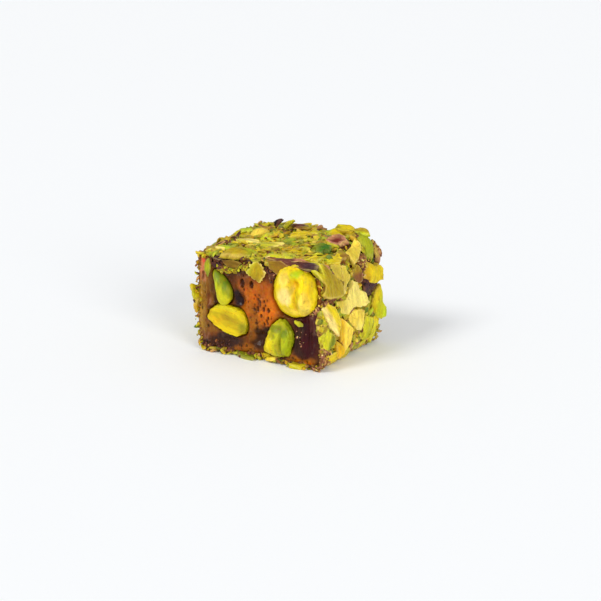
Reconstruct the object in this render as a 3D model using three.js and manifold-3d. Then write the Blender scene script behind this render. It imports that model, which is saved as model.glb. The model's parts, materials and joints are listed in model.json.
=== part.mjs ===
// Turkish delight: one piece cut from a roll of dark fruit jelly with whole pistachio kernels in it.
// The roll was pressed into slivered and chopped pistachio, so four sides are coated, and the knife
// left two bare cut faces that show the jelly and the kernels.
// Millimetres, +Z up. The cut faces look along -Y and +Y, the coated sides along +X, -X, +Z and -Z.

import * as THREE from 'three';
import { mergeVertices } from 'three/addons/utils/BufferGeometryUtils.js';
import Module from 'manifold-3d';

const wasm = await Module();
wasm.setup();

// Driving dimensions
const pieceWidth = 39.1; // X, over the coating
const pieceDepth = 32; // Y, between the knife cuts
const pieceHeight = 28; // Z, over the coating at the front
const topRise = 2.0; // how much higher the top is at the back
const coating = 1.6; // how far the nuts stand off the jelly on the top and the right
const thinCoating = 0.3; // the same on the left side, where the roll picked up less
const pressedCoating = 1.1; // the same under the piece, where its weight presses them in
const cornerRadii = { topRight: 4.6, lowRight: 3.0, lowLeft: 2.8, topLeft: 1.4 }; // seen from the front
const sunk = 0.45; // how deep a sliver sits in the jelly
const pocketGap = 0.3; // clear space between a loose piece and the jelly round it
const middleAcross = -0.95; // X of the jelly's middle, left of the whole kernel's side of the cut

const halfWidth = (pieceWidth - coating - thinCoating) / 2;
const halfHeight = (pieceHeight - coating - pressedCoating) / 2;
const middleHeight = pressedCoating + halfHeight;
const halfDepth = pieceDepth / 2;

// ---------------------------------------------------------------- the roll's outline

// The roll's four sides, clockwise from the top as seen from the front: how far out each lies, half
// its width, and the radii of the corners before and after it. Each ends with the corner after it.
const sides = [
  { out: halfHeight, half: halfWidth, from: cornerRadii.topLeft, to: cornerRadii.topRight },
  { out: halfWidth, half: halfHeight, from: cornerRadii.topRight, to: cornerRadii.lowRight },
  { out: halfHeight, half: halfWidth, from: cornerRadii.lowRight, to: cornerRadii.lowLeft },
  { out: halfWidth, half: halfHeight, from: cornerRadii.lowLeft, to: cornerRadii.topLeft },
];
let outlineLength = 0;
for (const side of sides) {
  side.straight = 2 * side.half - side.from - side.to;
  side.arc = (Math.PI / 2) * side.to;
  side.start = outlineLength - (halfWidth - cornerRadii.topLeft);
  side.cornerMiddle = side.start + side.straight + side.arc / 2;
  outlineLength += side.straight + side.arc;
}

const fraction = (value) => value - Math.floor(value);

// A point of the jelly's outline from its middle, its outward direction, and how far along the
// outline the nearest corner's middle is. Seen from the front, the distance runs clockwise from the
// middle of the top: along the top, down the right side, and on round.
function outline(distance) {
  let left = fraction((distance - sides[0].start) / outlineLength) * outlineLength;
  for (const [turns, { out, half, from, to, straight, arc }] of sides.entries()) {
    if (left <= straight) {
      const toCorner = Math.min(left + (Math.PI / 4) * from, straight - left + arc / 2);
      return { ...turned(turns, left + from - half, out, 0), toCorner };
    }
    left -= straight;
    if (left <= arc) {
      const angle = left / to;
      const [along, rise] = [half - to + to * Math.sin(angle), out - to + to * Math.cos(angle)];
      return { ...turned(turns, along, rise, angle), toCorner: Math.abs(left - arc / 2) };
    }
    left -= arc;
  }
  return outline(sides[0].start);
}

// Turns a point of the top side, and its outward direction, by quarter turns onto the other sides.
function turned(side, along, out, angle) {
  const turn = (a, o) => [[a, o], [o, -a], [-a, -o], [-o, a]][side];
  const [x, z] = turn(along, out);
  const [nx, nz] = turn(Math.sin(angle), Math.cos(angle));
  return { x, z, nx, nz };
}

// The soft jelly is never quite flat: long shallow waves along and round the roll.
function swell(distance, y) {
  const round = (2 * Math.PI * distance) / outlineLength;
  return 0.28 * Math.sin(3 * round + 1.3) + 0.2 * Math.sin(5 * round + 0.21 * y);
}

// The height of a point of the outline: the upper half climbs towards the back.
function heightOf(z, y) {
  const climbed = (topRise * (y + halfDepth)) / pieceDepth;
  return middleHeight + z + (Math.max(0, z) / halfHeight) * climbed;
}

// The jelly's coated surface: where it is and which way it looks.
function coatSurface(distance, y) {
  const spot = outline(distance);
  const out = new THREE.Vector3(spot.nx, 0, spot.nz);
  const point = new THREE.Vector3(middleAcross + spot.x, y, heightOf(spot.z, y));
  point.addScaledVector(out, swell(distance, y));
  const round = new THREE.Vector3(spot.nz, 0, -spot.nx);
  return { point, out, round, toCorner: spot.toCorner };
}

// Distances round the outline of a spot on the top, the right side, the underside or the left side.
const onSide = ({ start, half, from }, along) => start + half - from + along;
const onTop = (x) => onSide(sides[0], x - middleAcross);
const onRight = (z) => onSide(sides[1], middleHeight - z);
const onUnderside = (x) => onSide(sides[2], middleAcross - x);
const onLeft = (z) => onSide(sides[3], z - middleHeight);

// ---------------------------------------------------------------- the cut faces

// Hollows of the cut faces, where the jelly pulled in between the nuts, and the places where it
// stands proud (a depth below zero). x and z are where each lies, across and up its half sizes.
const frontHollows = [
  { x: -6.4, z: 15.4, across: 2.0, up: 2.4, depth: 1.5 },
  { x: -0.6, z: 6.0, across: 4.6, up: 2.0, depth: 1.5 },
  { x: 14.2, z: 8.0, across: 2.2, up: 6.0, depth: 1.0 },
  { x: 0.0, z: 17.5, across: 4.2, up: 6.5, depth: -0.7 },
  { x: -16.0, z: 13.0, across: 1.8, up: 12.0, depth: -0.5 },
];
const backHollows = [
  { x: -8.5, z: 18.5, across: 3.0, up: 3.0, depth: 1.2 },
  { x: 2.5, z: 7.0, across: 4.0, up: 2.2, depth: 1.4 },
  { x: 7.5, z: 19.0, across: 4.0, up: 6.0, depth: -0.6 },
  { x: -3.0, z: 13.0, across: 1.6, up: 9.0, depth: 0.8 },
];
const cutRelief = 0.8; // how far the cut jelly sits behind the knife's plane
const edgeRound = 0.9; // how far the cut faces curve back at their rims

function hollowAt(hollows, x, z) {
  return hollows.reduce((depth, h) => {
    const far = ((x - h.x) / h.across) ** 2 + ((z - h.z) / h.up) ** 2;
    return depth + h.depth * Math.exp(-far);
  }, 0);
}

// The distance of a cut face behind the knife's plane. ring is 0 at its middle and 1 at its rim.
function cutDepth(hollows, x, z, ring) {
  const waves = 0.18 * Math.sin(0.55 * x + 0.9) + 0.14 * Math.sin(0.5 * z - 0.35 * x);
  return cutRelief + waves + (1 - ring ** 6) * hollowAt(hollows, x, z) + edgeRound * ring ** 10;
}

// ---------------------------------------------------------------- solids

// A closed geometry as a solid that can be joined and cut.
function solid(geometry) {
  const bare = geometry.clone();
  bare.deleteAttribute('normal');
  bare.deleteAttribute('uv');
  const merged = mergeVertices(bare, 1e-4);
  return new wasm.Manifold(new wasm.Mesh({
    numProp: 3,
    vertProperties: merged.attributes.position.array,
    triVerts: new Uint32Array(merged.index.array),
  }));
}

function geometryOf(body) {
  const mesh = body.getMesh();
  const positions = new Float32Array(mesh.numVert * 3);
  for (let i = 0; i < mesh.numVert; i += 1) {
    positions.set(mesh.vertProperties.subarray(i * mesh.numProp, i * mesh.numProp + 3), i * 3);
  }
  const geometry = new THREE.BufferGeometry();
  geometry.setAttribute('position', new THREE.BufferAttribute(positions, 3));
  geometry.setIndex(new THREE.BufferAttribute(mesh.triVerts, 1));
  geometry.computeVertexNormals();
  return geometry;
}

// A box between two corners, for the knife and the table.
function block(low, high) {
  const size = high.map((value, axis) => value - low[axis]);
  const middle = high.map((value, axis) => (value + low[axis]) / 2);
  return solid(new THREE.BoxGeometry(...size).translate(...middle));
}

const largestBody = (body) => body.decompose().sort((a, b) => b.volume() - a.volume())[0];

// ---------------------------------------------------------------- the jelly

const jellySteps = { across: 11, deep: 7, up: 9 };

// A box of unit half sizes bent into the roll: each square ring of its faces becomes a ring of the
// outline, and its two ends take the relief of the cut faces.
function jellyGeometry() {
  const geometry = new THREE.BoxGeometry(2, 2, 2, jellySteps.across, jellySteps.deep, jellySteps.up);
  const position = geometry.attributes.position;
  for (let i = 0; i < position.count; i += 1) {
    const [u, v, w] = [position.getX(i), position.getY(i), position.getZ(i)];
    const ring = Math.max(Math.abs(u), Math.abs(w));
    const distance = ring > 0 ? squareDistance(u / ring, w / ring) : 0;
    const spot = outline(distance);
    const reach = ring * (1 + swell(distance, v * halfDepth) / Math.hypot(spot.x, spot.z));
    const [x, z] = [middleAcross + spot.x * reach, heightOf(spot.z * reach, v * halfDepth)];
    const depth = cutDepth(v < 0 ? frontHollows : backHollows, x, z, ring);
    const y = Math.abs(v) < 1 ? v * (halfDepth - cutRelief - edgeRound) : v * (halfDepth - depth);
    position.setXYZ(i, x, y, z);
  }
  return geometry;
}

// The outline distance that a point on the rim of the unit square stands for: each side of the
// square runs from the middle of one corner of the roll to the middle of the next.
function squareDistance(u, w) {
  const upright = Math.abs(w) < Math.abs(u);
  const turns = upright ? (u > 0 ? 1 : 3) : (w > 0 ? 0 : 2);
  const along = [u, -w, -u, w][turns];
  const before = turns ? sides[turns - 1].cornerMiddle : sides[3].cornerMiddle - outlineLength;
  return THREE.MathUtils.lerp(before, sides[turns].cornerMiddle, (along + 1) / 2);
}

// ---------------------------------------------------------------- nut pieces

// Outlines of the cut nut pieces as shares of their half length and half width.
const nutOutlines = {
  sliver: [[-1, -0.2], [-0.35, -1], [0.6, -0.9], [1, 0.15], [0.35, 1], [-0.65, 0.85]],
  slice: [[-1, 0], [-0.72, -0.72], [0, -1], [0.7, -0.75], [1, 0.05], [0.75, 0.7], [0.05, 1], [-0.68, 0.74]],
  chunk: [[-1, -0.6], [0.1, -1], [1, -0.35], [0.8, 0.75], [-0.2, 1], [-0.95, 0.5]],
};

const slantGrowth = 1.5; // how much further a corner moves than its edges have to

// A flat piece's corners: those of its cut at its size, or its own, moved out from its middle.
function cornersOf({ cut, long, wide, corners }, grow) {
  const [halfLong, halfWide] = [long / 2 + grow, wide / 2 + grow];
  const spread = ([a, b]) => 1 + (slantGrowth * grow) / Math.hypot(a, b);
  if (!corners) return nutOutlines[cut].map(([a, b]) => new THREE.Vector2(a * halfLong, b * halfWide));
  return corners.map((corner) => new THREE.Vector2(...corner).multiplyScalar(spread(corner)));
}

// A flat piece of nut: its outline in X and Y, thick along Z, with its inner face at Z = 0.
function nutGeometry(piece, grow = 0) {
  if (piece.bend) return bentGeometry(piece, grow);
  const settings = { depth: piece.thick + 2 * grow, bevelEnabled: false };
  return new THREE.ExtrudeGeometry(new THREE.Shape(cornersOf(piece, grow)), settings).translate(0, 0, -grow);
}

const bentSteps = 6;
const bentTaper = 0.55; // how much narrower the ends of a bent piece are

// A long piece bent round the roll's corner: its ends narrow, and drop by a parabola.
function bentGeometry({ long, wide, thick, bend }, grow) {
  const size = [long, wide, thick].map((measure) => measure + 2 * grow);
  const geometry = new THREE.BoxGeometry(...size, bentSteps, 1, 1).translate(0, 0, thick / 2);
  const position = geometry.attributes.position;
  for (let i = 0; i < position.count; i += 1) {
    const [x, y, z] = [position.getX(i), position.getY(i), position.getZ(i)];
    const narrow = 1 - bentTaper * (x / (size[0] / 2)) ** 2;
    position.setXYZ(i, x, y * narrow, z - x ** 2 / (2 * bend));
  }
  return geometry;
}

// Lays a nut piece on the coated surface. bearing turns its length from the roll's axis (Y) towards
// the way round the roll, tip lifts its far end and heel rolls it about its own length.
function laidOnCoat(geometry, { distance, y, bearing, tip = 0, heel = 0, lift = -sunk }) {
  const { point, out, round } = coatSurface(distance, y);
  const length = new THREE.Vector3(0, Math.cos(bearing), 0).addScaledVector(round, Math.sin(bearing));
  const across = new THREE.Vector3().crossVectors(out, length);
  const place = new THREE.Matrix4().makeBasis(length, across, out);
  place.multiply(new THREE.Matrix4().makeRotationY(-tip));
  place.multiply(new THREE.Matrix4().makeRotationX(heel));
  place.setPosition(point.addScaledVector(out, lift));
  return geometry.clone().applyMatrix4(place);
}

// Lays a piece on a cut face: Z of the piece looks out of the face and Y up, then lean turns it
// anticlockwise as seen from outside. The face is -1 for the front and 1 for the back.
function laidOnCut(geometry, { face, x, z, out, lean, nod = 0 }) {
  const place = new THREE.Matrix4().makeBasis(
    new THREE.Vector3(-face, 0, 0),
    new THREE.Vector3(0, 0, 1),
    new THREE.Vector3(0, face, 0),
  );
  place.multiply(new THREE.Matrix4().makeRotationZ(lean));
  place.multiply(new THREE.Matrix4().makeRotationX(nod));
  place.setPosition(x, face * (halfDepth - cutRelief + out), z);
  return geometry.clone().applyMatrix4(place);
}

// ---------------------------------------------------------------- the scattered coating

// One repeatable draw from 0 to 1 for each numbered piece and purpose.
const draw = (piece, purpose) => fraction(Math.sin(piece * 12.9898 + purpose * 78.233) * 43758.5453);

const scatter = {
  count: 128,
  longest: 11.5,
  shortest: 5.5,
  overhang: 0.4, // how near a piece's middle may come to the knife's plane
  pastCorner: 1.2, // how far a piece may reach past the middle of a corner
  steepest: 0.16, // radians by which a piece's end may lift
  spared: 0.37, // of a large piece's length, round its middle, where nothing is scattered
  thinnedLeft: 0.5, // share of their thickness that the pieces on the left side lack
};
const stepRound = 0.7548776662466927; // two steps that spread any number of points evenly
const stepAlong = 0.5698402909980532;

// The numbered piece of the scatter: the longest come first, and the kinds take turns by draw.
function scattered(i) {
  const share = i / scatter.count;
  const distance = fraction(0.5 + i * stepRound) * outlineLength;
  const y = (fraction(0.5 + i * stepAlong) - 0.5) * 2 * (halfDepth - scatter.overhang);
  const kind = draw(i, 1);
  const long = THREE.MathUtils.lerp(scatter.longest, scatter.shortest, share) * (0.85 + 0.3 * draw(i, 2));
  const { out, toCorner } = coatSurface(distance, y);
  const reach = (toCorner + scatter.pastCorner) / (long / 2);
  const bearing = (draw(i, 3) - 0.5) * 2 * Math.asin(Math.min(1, reach));
  const thin = 1 - scatter.thinnedLeft * Math.max(0, -out.x);
  const tip = (draw(i, 4) - 0.5) * 2 * scatter.steepest * thin;
  const place = { distance, y, bearing, tip, lift: -sunk * thin };
  const size = draw(i, 5);
  const sliver = { cut: 'sliver', long, wide: 2.2 + 1.2 * size, thick: (1.3 + 0.7 * size) * thin };
  const slice = { cut: 'slice', long: long * 0.8, wide: 4.2 + 1.6 * size, thick: (1.0 + 0.4 * size) * thin };
  const chunk = { cut: 'chunk', long: long * 0.5, wide: 3.0 + size, thick: (1.7 + 0.6 * size) * thin };
  if (kind < 0.62) return { ...place, ...sliver };
  return kind < 0.84 ? { ...place, ...slice } : { ...place, ...chunk };
}

// Twice the furthest corner of a piece with corners of its own.
const lengthOf = ({ long, corners }) => long ?? 2 * Math.max(...corners.map(([a, b]) => Math.hypot(a, b)));

// Whether a scattered piece would lie on one of the large pieces, which then takes its place.
function underLarge({ distance, y }) {
  return largePieces.some((large) => {
    const round = fraction((distance - large.distance) / outlineLength + 0.5) - 0.5;
    return Math.hypot(round * outlineLength, y - large.y) < scatter.spared * lengthOf(large);
  });
}

// The slice under the middle of the piece, which its weight presses flat, two flakes that stand out
// of the left side by its front edge, and a torn one by the front edge of the right side.
const fixedPieces = [
  { cut: 'slice', long: 13, wide: 9, thick: 2.1, distance: onUnderside(0), y: 0, bearing: 0.4 },
  { thick: 1.5, distance: onLeft(15.2), y: -13.6, bearing: 1.85, tip: 0.85,
    corners: [[3.9, 0.3], [0.9, 2.2], [-1.6, 1.6], [-2.0, -1.4], [0.4, -2.3]] },
  { cut: 'chunk', long: 4.4, wide: 3.0, thick: 1.3,
    distance: onLeft(12.2), y: -14.2, bearing: 1.8, tip: -0.2 },
  { thick: 1.2, distance: onRight(13.1), y: -13.6, bearing: 0, tip: 0.2,
    corners: [[-0.8, 3.2], [-1.7, 1.2], [-1.8, -1.6], [-0.8, -4.0], [1.2, -2.6], [1.6, -1.0], [0.7, 1.6]] },
];

// Thin flakes that stuck to the front cut face when the knife passed.
const cutFlakes = [
  { cut: 'slice', long: 6.2, wide: 5.2, thick: 0.9, face: -1, x: -0.3, z: 24.2, out: -0.35, lean: 1.4 },
  { cut: 'sliver', long: 4.8, wide: 1.7, thick: 1.1, face: -1, x: -15.4, z: 23.4, out: -0.5, lean: 1.45 },
  { cut: 'chunk', long: 2.3, wide: 1.7, thick: 1.3, face: -1, x: 12.6, z: 12.2, out: -0.6, lean: 0.5 },
];

// ---------------------------------------------------------------- pieces that are their own solids

// Whole and broken kernels that the cut faces show. long, wide and thick are their sizes, taper
// makes the upper end narrower, groove is the seam between the two halves of the nut, slicedAt is
// how far out the knife took the rest, and brokenAt is the share of the half length that is left.
const kernels = [
  { name: 'kernel_whole_front', face: -1, x: 10.6, z: 20.2, out: -0.8, lean: 0.08, nod: 0.08,
    long: 14.4, wide: 12.2, thick: 8.2, taper: -0.05, groove: 0.16 },
  { name: 'kernel_sliced_front', face: -1, x: -9.8, z: 9.8, out: -0.4, lean: 1.36,
    long: 13.0, wide: 7.4, thick: 7.2, taper: -0.12, groove: 0, slicedAt: 0.5 },
  { name: 'kernel_green_front', face: -1, x: -11.7, z: 18.6, out: -0.3, lean: 0.46, nod: -0.1,
    long: 10.6, wide: 4.8, thick: 4.4, taper: -0.34, groove: 0.05 },
  { name: 'kernel_broken_front', face: -1, x: 5.7, z: 6.9, out: -0.4, lean: -0.3, nod: 0.1,
    long: 13.2, wide: 8.2, thick: 6.6, taper: -0.2, groove: 0.1, brokenAt: 0.38 },
  { name: 'kernel_whole_back', face: 1, x: 5.5, z: 17.6, out: -0.8, lean: 0.5, nod: 0.08,
    long: 14.8, wide: 9.2, thick: 7.6, taper: -0.14, groove: 0.14 },
  { name: 'kernel_sliced_back', face: 1, x: -10.2, z: 9.4, out: -0.4, lean: -0.35,
    long: 13.0, wide: 8.0, thick: 7.0, taper: -0.1, groove: 0, slicedAt: 0.5 },
  { name: 'kernel_green_back', face: 1, x: -8.4, z: 20.6, out: -0.4, lean: -1.2, nod: -0.1,
    long: 10.6, wide: 5.0, thick: 4.6, taper: -0.3, groove: 0.05 },
  { name: 'kernel_broken_back', face: 1, x: 8.4, z: 6.4, out: -0.4, lean: 1.3, nod: 0.1,
    long: 13.2, wide: 7.6, thick: 6.4, taper: -0.2, groove: 0.1, brokenAt: 0.45 },
];

// Large nut pieces of the coating. Each lies at a distance round the roll and a place y along it.
// bend is the radius by which a piece follows the roll's corner, and torn pieces have corners of
// their own, along and across their length.
const largePieces = [
  { name: 'sliver_olive_top', cut: 'sliver', long: 9.8, wide: 4.0, thick: 2.8,
    distance: onTop(-7.2), y: -13.5, bearing: 1.05 },
  { name: 'flake_lime_top', cut: 'slice', long: 7.0, wide: 4.4, thick: 1.5,
    distance: onTop(1.2), y: -11.0, bearing: 1.5, tip: 0.1 },
  { name: 'flake_lime_middle_top', cut: 'slice', long: 8.4, wide: 5.2, thick: 1.6,
    distance: onTop(-4.6), y: -2.6, bearing: 1.3, tip: 0.12 },
  { name: 'sliver_lime_top', cut: 'sliver', long: 8.6, wide: 3.2, thick: 2.0,
    distance: onTop(-0.8), y: 7.8, bearing: 0.5, tip: 0.05 },
  { name: 'flake_yellow_top', cut: 'slice', long: 7.8, wide: 4.6, thick: 1.5,
    distance: onTop(-12.2), y: -1.4, bearing: 1.0, tip: -0.1 },
  { name: 'sliver_yellow_left_top', cut: 'sliver', long: 8.0, wide: 3.8, thick: 2.4,
    distance: onTop(-13.4), y: 6.6, bearing: 0.3, tip: 0.08 },
  { name: 'half_purple_top', cut: 'sliver', long: 7.4, wide: 4.0, thick: 2.2,
    distance: onTop(9.9), y: 7.8, bearing: 1.75, tip: 0.05, heel: 0.55, lift: 0.2 },
  { name: 'chunk_green_top', cut: 'chunk', long: 5.0, wide: 4.6, thick: 2.3,
    distance: onTop(10.2), y: -1.2, bearing: 1.3, tip: 0.1, heel: 0.4, lift: 0.2 },
  { name: 'sliver_yellow_top', cut: 'sliver', long: 6.6, wide: 3.2, thick: 2.4,
    distance: onTop(5.8), y: 13.6, bearing: 1.45, tip: -0.1 },
  { name: 'sliver_green_corner', cut: 'sliver', long: 8.4, wide: 3.8, thick: 2.2, bend: 5,
    distance: onTop(15.4), y: 12.7, bearing: 2.05 },
  { name: 'sliver_lime_corner', cut: 'sliver', long: 6.6, wide: 2.4, thick: 1.8,
    distance: onTop(15.5), y: -1.9, bearing: -0.15, tip: 0.08 },
  { name: 'flake_yellow_corner', thick: 1.5, distance: onTop(15.6), y: 5.2, bearing: 0, tip: 0.3, lift: 0.4,
    corners: [[2.9, 1.9], [0.8, 1.2], [-0.8, 0.6], [-3.4, 0.2], [-3.6, -1.0], [-4.6, -4.0], [-1.3, -2.8],
      [1.3, -1.6], [3.6, 0.2]] },
  { name: 'flake_green_right', thick: 1.5, distance: onRight(23.0), y: -11.2, bearing: 0, tip: 0.14, lift: -0.1,
    corners: [[-5.0, 4.0], [-2.4, 2.1], [-1.8, -1.1], [-3.3, -3.0], [-2.4, -4.1], [2.1, -5.2], [5.4, -5.1],
      [5.6, -2.9], [1.4, 2.0], [-0.3, 4.4], [-2.5, 5.2]] },
  { name: 'shaving_olive_right', thick: 1.3, distance: onRight(23.4), y: -6.2, bearing: 0, tip: 0.16, lift: -0.2,
    corners: [[-1.6, 2.7], [-1.8, 0.5], [-0.6, -0.9], [0.7, -2.0], [1.9, 0.2], [2.0, 2.2]] },
  { name: 'shaving_pale_right', thick: 1.4, distance: onRight(21.4), y: -2.9, bearing: 0, tip: 0.12, lift: -0.1,
    corners: [[-1.3, 3.3], [-1.4, -0.6], [-1.0, -3.8], [-0.2, -4.0], [1.1, -1.1], [1.7, 0.9], [0.2, 3.6]] },
  { name: 'shaving_brown_right', thick: 1.4, distance: onRight(21.0), y: 3.5, bearing: 0, tip: 0.2, lift: -0.1,
    corners: [[-0.3, 2.8], [-1.9, 1.6], [-1.8, -0.8], [0.3, -2.4], [1.9, -2.0], [1.6, 1.0]] },
  { name: 'chunk_yellow_right', thick: 1.9, distance: onRight(19.3), y: 12.0, bearing: 0, tip: 0.25, lift: -0.2,
    corners: [[-2.4, 3.5], [-2.8, 2.4], [-3.9, 0.9], [-3.4, -0.9], [-2.0, -2.0], [0.6, -2.9], [3.2, -2.2],
      [3.5, 0.2], [2.7, 1.7], [0.6, 2.1]] },
  { name: 'flake_pale_right', thick: 1.4, distance: onRight(15.4), y: -0.3, bearing: 0, tip: 0.14, lift: 0,
    corners: [[0.4, 5.1], [-1.2, 2.0], [-2.6, 0.9], [-7.0, 1.1], [-3.9, -2.8], [-1.1, -3.4], [0.8, -1.8],
      [6.0, -2.9], [7.6, -2.2], [6.2, 1.0], [3.6, 1.9], [2.5, 4.0]] },
  { name: 'sliver_pale_right', thick: 1.9, distance: onRight(12.5), y: -10.4, bearing: 0, tip: 0.14, lift: -0.1,
    corners: [[-3.7, 5.0], [-3.4, 3.2], [-2.4, 1.2], [-0.9, -1.5], [1.4, -3.8], [3.2, -4.9], [3.8, -1.4],
      [2.5, 1.4], [1.2, 3.6], [-0.8, 4.7]] },
  { name: 'flake_pale_low_right', thick: 1.5, distance: onRight(9.9), y: 2.3, bearing: 0, tip: 0.14, lift: -0.1,
    corners: [[-3.6, 1.7], [-3.4, 0.2], [-1.4, -1.5], [0.4, -3.2], [1.8, -3.6], [3.2, -1.3], [3.8, 1.4],
      [3.4, 1.8], [-0.8, 2.6]] },
  { name: 'sliver_gold_right', thick: 1.7, distance: onRight(7.5), y: -3.3, bearing: 0, tip: 0.14, lift: -0.1,
    corners: [[-2.8, 4.9], [-2.6, -1.4], [-1.3, -3.4], [-0.2, -4.7], [1.6, -3.2], [2.2, -1.6], [2.3, 0.9],
      [-0.8, 3.7]] },
  { name: 'bit_gold_right', thick: 1.7, distance: onRight(4.0), y: -6.9, bearing: 0, tip: 0.15, lift: 0.1,
    corners: [[-1.6, 1.2], [-1.7, -1.2], [0.1, -2.5], [1.4, -1.5], [1.2, 0.6], [-0.7, 2.6]] },
  { name: 'chunk_green_low_right', thick: 1.7, distance: onRight(8.2), y: -12.3, bearing: 0, tip: 0.15,
    corners: [[0.1, 3.1], [-2.1, 0.8], [-2.3, -0.5], [-1.8, -2.2], [-0.6, -3.1], [1.1, -2.4], [2.3, -1.8],
      [2.3, 0.1]] },
  { name: 'chunk_green_right', thick: 1.9, distance: onRight(5.9), y: 8.7, bearing: 0, tip: 0.15,
    corners: [[-0.6, 3.4], [-1.9, 0.2], [-3.9, -1.5], [-2.4, -2.9], [3.8, -3.4], [3.2, -1.1], [3.9, 0.9],
      [2.8, 2.0]] },
  { name: 'sliver_edge_right', thick: 2.0, distance: onRight(11.2), y: 14.6, bearing: 0, tip: 0.5, lift: 0.4,
    corners: [[0.6, 5.4], [-1.1, 3.4], [-2.2, 1.0], [-2.2, -1.2], [-0.6, -3.7], [1.2, -4.5], [2.7, -3.9],
      [2.8, -1.4], [1.6, 0.0], [1.2, 3.0]] },
  { name: 'flake_pale_left', cut: 'slice', long: 12.0, wide: 7.0, thick: 1.0,
    distance: onLeft(13.0), y: -3.0, bearing: 1.2, tip: 0.03 },
  { name: 'sliver_green_left', cut: 'sliver', long: 12.0, wide: 4.4, thick: 1.2,
    distance: onLeft(18.0), y: 8.0, bearing: 0.9, tip: -0.03 },
  { name: 'sliver_pale_left', cut: 'sliver', long: 10.6, wide: 4.0, thick: 1.1,
    distance: onLeft(6.0), y: 7.5, bearing: 0.3 },
  { name: 'chunk_lime_left', cut: 'chunk', long: 6.6, wide: 5.2, thick: 1.2,
    distance: onLeft(19.0), y: -10.0, bearing: 0.6 },
];

// A kernel lying along Y, its seam looking along Z.
function kernelGeometry({ long, wide, thick, taper, groove }, grow = 0) {
  const geometry = new THREE.SphereGeometry(1, 14, 9);
  const position = geometry.attributes.position;
  const [halfWide, halfLong, halfThick] = [wide / 2 + grow, long / 2 + grow, thick / 2 + grow];
  for (let i = 0; i < position.count; i += 1) {
    const [u, v, w] = [position.getX(i), position.getY(i), position.getZ(i)];
    const narrow = 1 + taper * v;
    const seam = 1 - groove * Math.exp(-((u / 0.2) ** 2));
    position.setXYZ(i, u * narrow * halfWide, v * halfLong, w * narrow * seam * halfThick);
  }
  return geometry;
}

// A kernel before it is placed, with what the knife or a break took away.
function kernelBody(kernel, grow = 0) {
  const far = kernel.long;
  let body = solid(kernelGeometry(kernel, grow));
  if (kernel.slicedAt !== undefined) {
    body = body.subtract(block([-far, -far, kernel.slicedAt - kernel.out + grow], [far, far, far]));
  }
  if (kernel.brokenAt !== undefined) {
    const end = -(kernel.brokenAt * kernel.long) / 2 - grow;
    const lost = new THREE.BoxGeometry(2 * far, far, 2 * far).translate(0, -far / 2, 0);
    body = body.subtract(solid(lost.rotateZ(-0.35).rotateX(0.3).translate(0, end, 0)));
  }
  return geometryOf(body);
}

// ---------------------------------------------------------------- assembly

const colours = {
  jelly: '#5a2a16', green: '#a3ad2c', olive: '#b7a82a', pale: '#f2dc6c', purple: '#7c4a3c', brown: '#8a6f2c',
  yellow: '#e3cf4e',
};

function colourOf(name) {
  const found = Object.keys(colours).find((word) => name.includes(word));
  if (found) return colours[found];
  return name.includes('lime') || name.includes('broken') ? '#c3c936' : colours.yellow;
}

const loose = [
  ...kernels.map((kernel) => ({
    name: kernel.name,
    shape: laidOnCut(kernelBody(kernel), kernel),
    pocket: laidOnCut(kernelBody(kernel, pocketGap), kernel),
  })),
  ...largePieces.map((piece) => ({
    name: piece.name,
    shape: laidOnCoat(nutGeometry(piece), piece),
    pocket: laidOnCoat(nutGeometry(piece, pocketGap), piece),
  })),
];

// The coated jelly: joined with its scatter, cut by the knife and pressed flat below, then given
// its flakes and a pocket for each loose piece.
function coatedJelly() {
  const scatteredPieces = Array.from({ length: scatter.count }, (_, i) => scattered(i));
  const pieces = [...fixedPieces, ...scatteredPieces.filter((piece) => !underLarge(piece))];
  let body = pieces.reduce(
    (joined, piece) => joined.add(solid(laidOnCoat(nutGeometry(piece), piece))),
    solid(jellyGeometry()),
  );
  const far = pieceWidth;
  body = body.intersect(block([-far, -halfDepth, 0], [far, halfDepth, 2 * far]));
  body = cutFlakes.reduce((joined, flake) => joined.add(solid(laidOnCut(nutGeometry(flake), flake))), body);
  body = loose.reduce((left, piece) => left.subtract(solid(piece.pocket)), body);
  return largestBody(body);
}

function meshOf(name, geometry) {
  const material = new THREE.MeshStandardMaterial({
    color: colourOf(name),
    roughness: name.includes('jelly') ? 0.25 : 0.6,
    metalness: 0,
  });
  const mesh = new THREE.Mesh(geometry, material);
  mesh.name = name;
  return mesh;
}

const delight = new THREE.Group();
delight.add(meshOf('jelly_with_nut_coating', geometryOf(coatedJelly())));
loose.forEach((piece) => delight.add(meshOf(piece.name, piece.shape)));

// The frame's origin is under the middle of everything.
const extent = new THREE.Box3().setFromObject(delight);
const middle = extent.getCenter(new THREE.Vector3());
delight.position.set(-middle.x, -middle.y, -extent.min.z);

export default delight;
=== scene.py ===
import bpy
import json
import numpy as np
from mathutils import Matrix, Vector


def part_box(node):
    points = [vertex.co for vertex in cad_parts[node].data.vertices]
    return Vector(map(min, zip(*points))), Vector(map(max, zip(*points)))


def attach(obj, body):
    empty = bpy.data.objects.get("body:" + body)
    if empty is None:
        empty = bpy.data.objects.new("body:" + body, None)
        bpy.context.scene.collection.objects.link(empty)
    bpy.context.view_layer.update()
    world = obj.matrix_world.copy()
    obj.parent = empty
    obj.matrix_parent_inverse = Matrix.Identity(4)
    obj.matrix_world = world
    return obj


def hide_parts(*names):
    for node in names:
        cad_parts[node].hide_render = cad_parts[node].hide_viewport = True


# Turkish delight: one piece cut from a roll of dark fruit jelly with whole pistachio kernels in it,
# coated in slivered, flaked and chopped pistachio. The knife's two faces look along -Y and +Y.
# Lengths are millimetres, in the roll's own frame, until a mesh is made from them.

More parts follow.
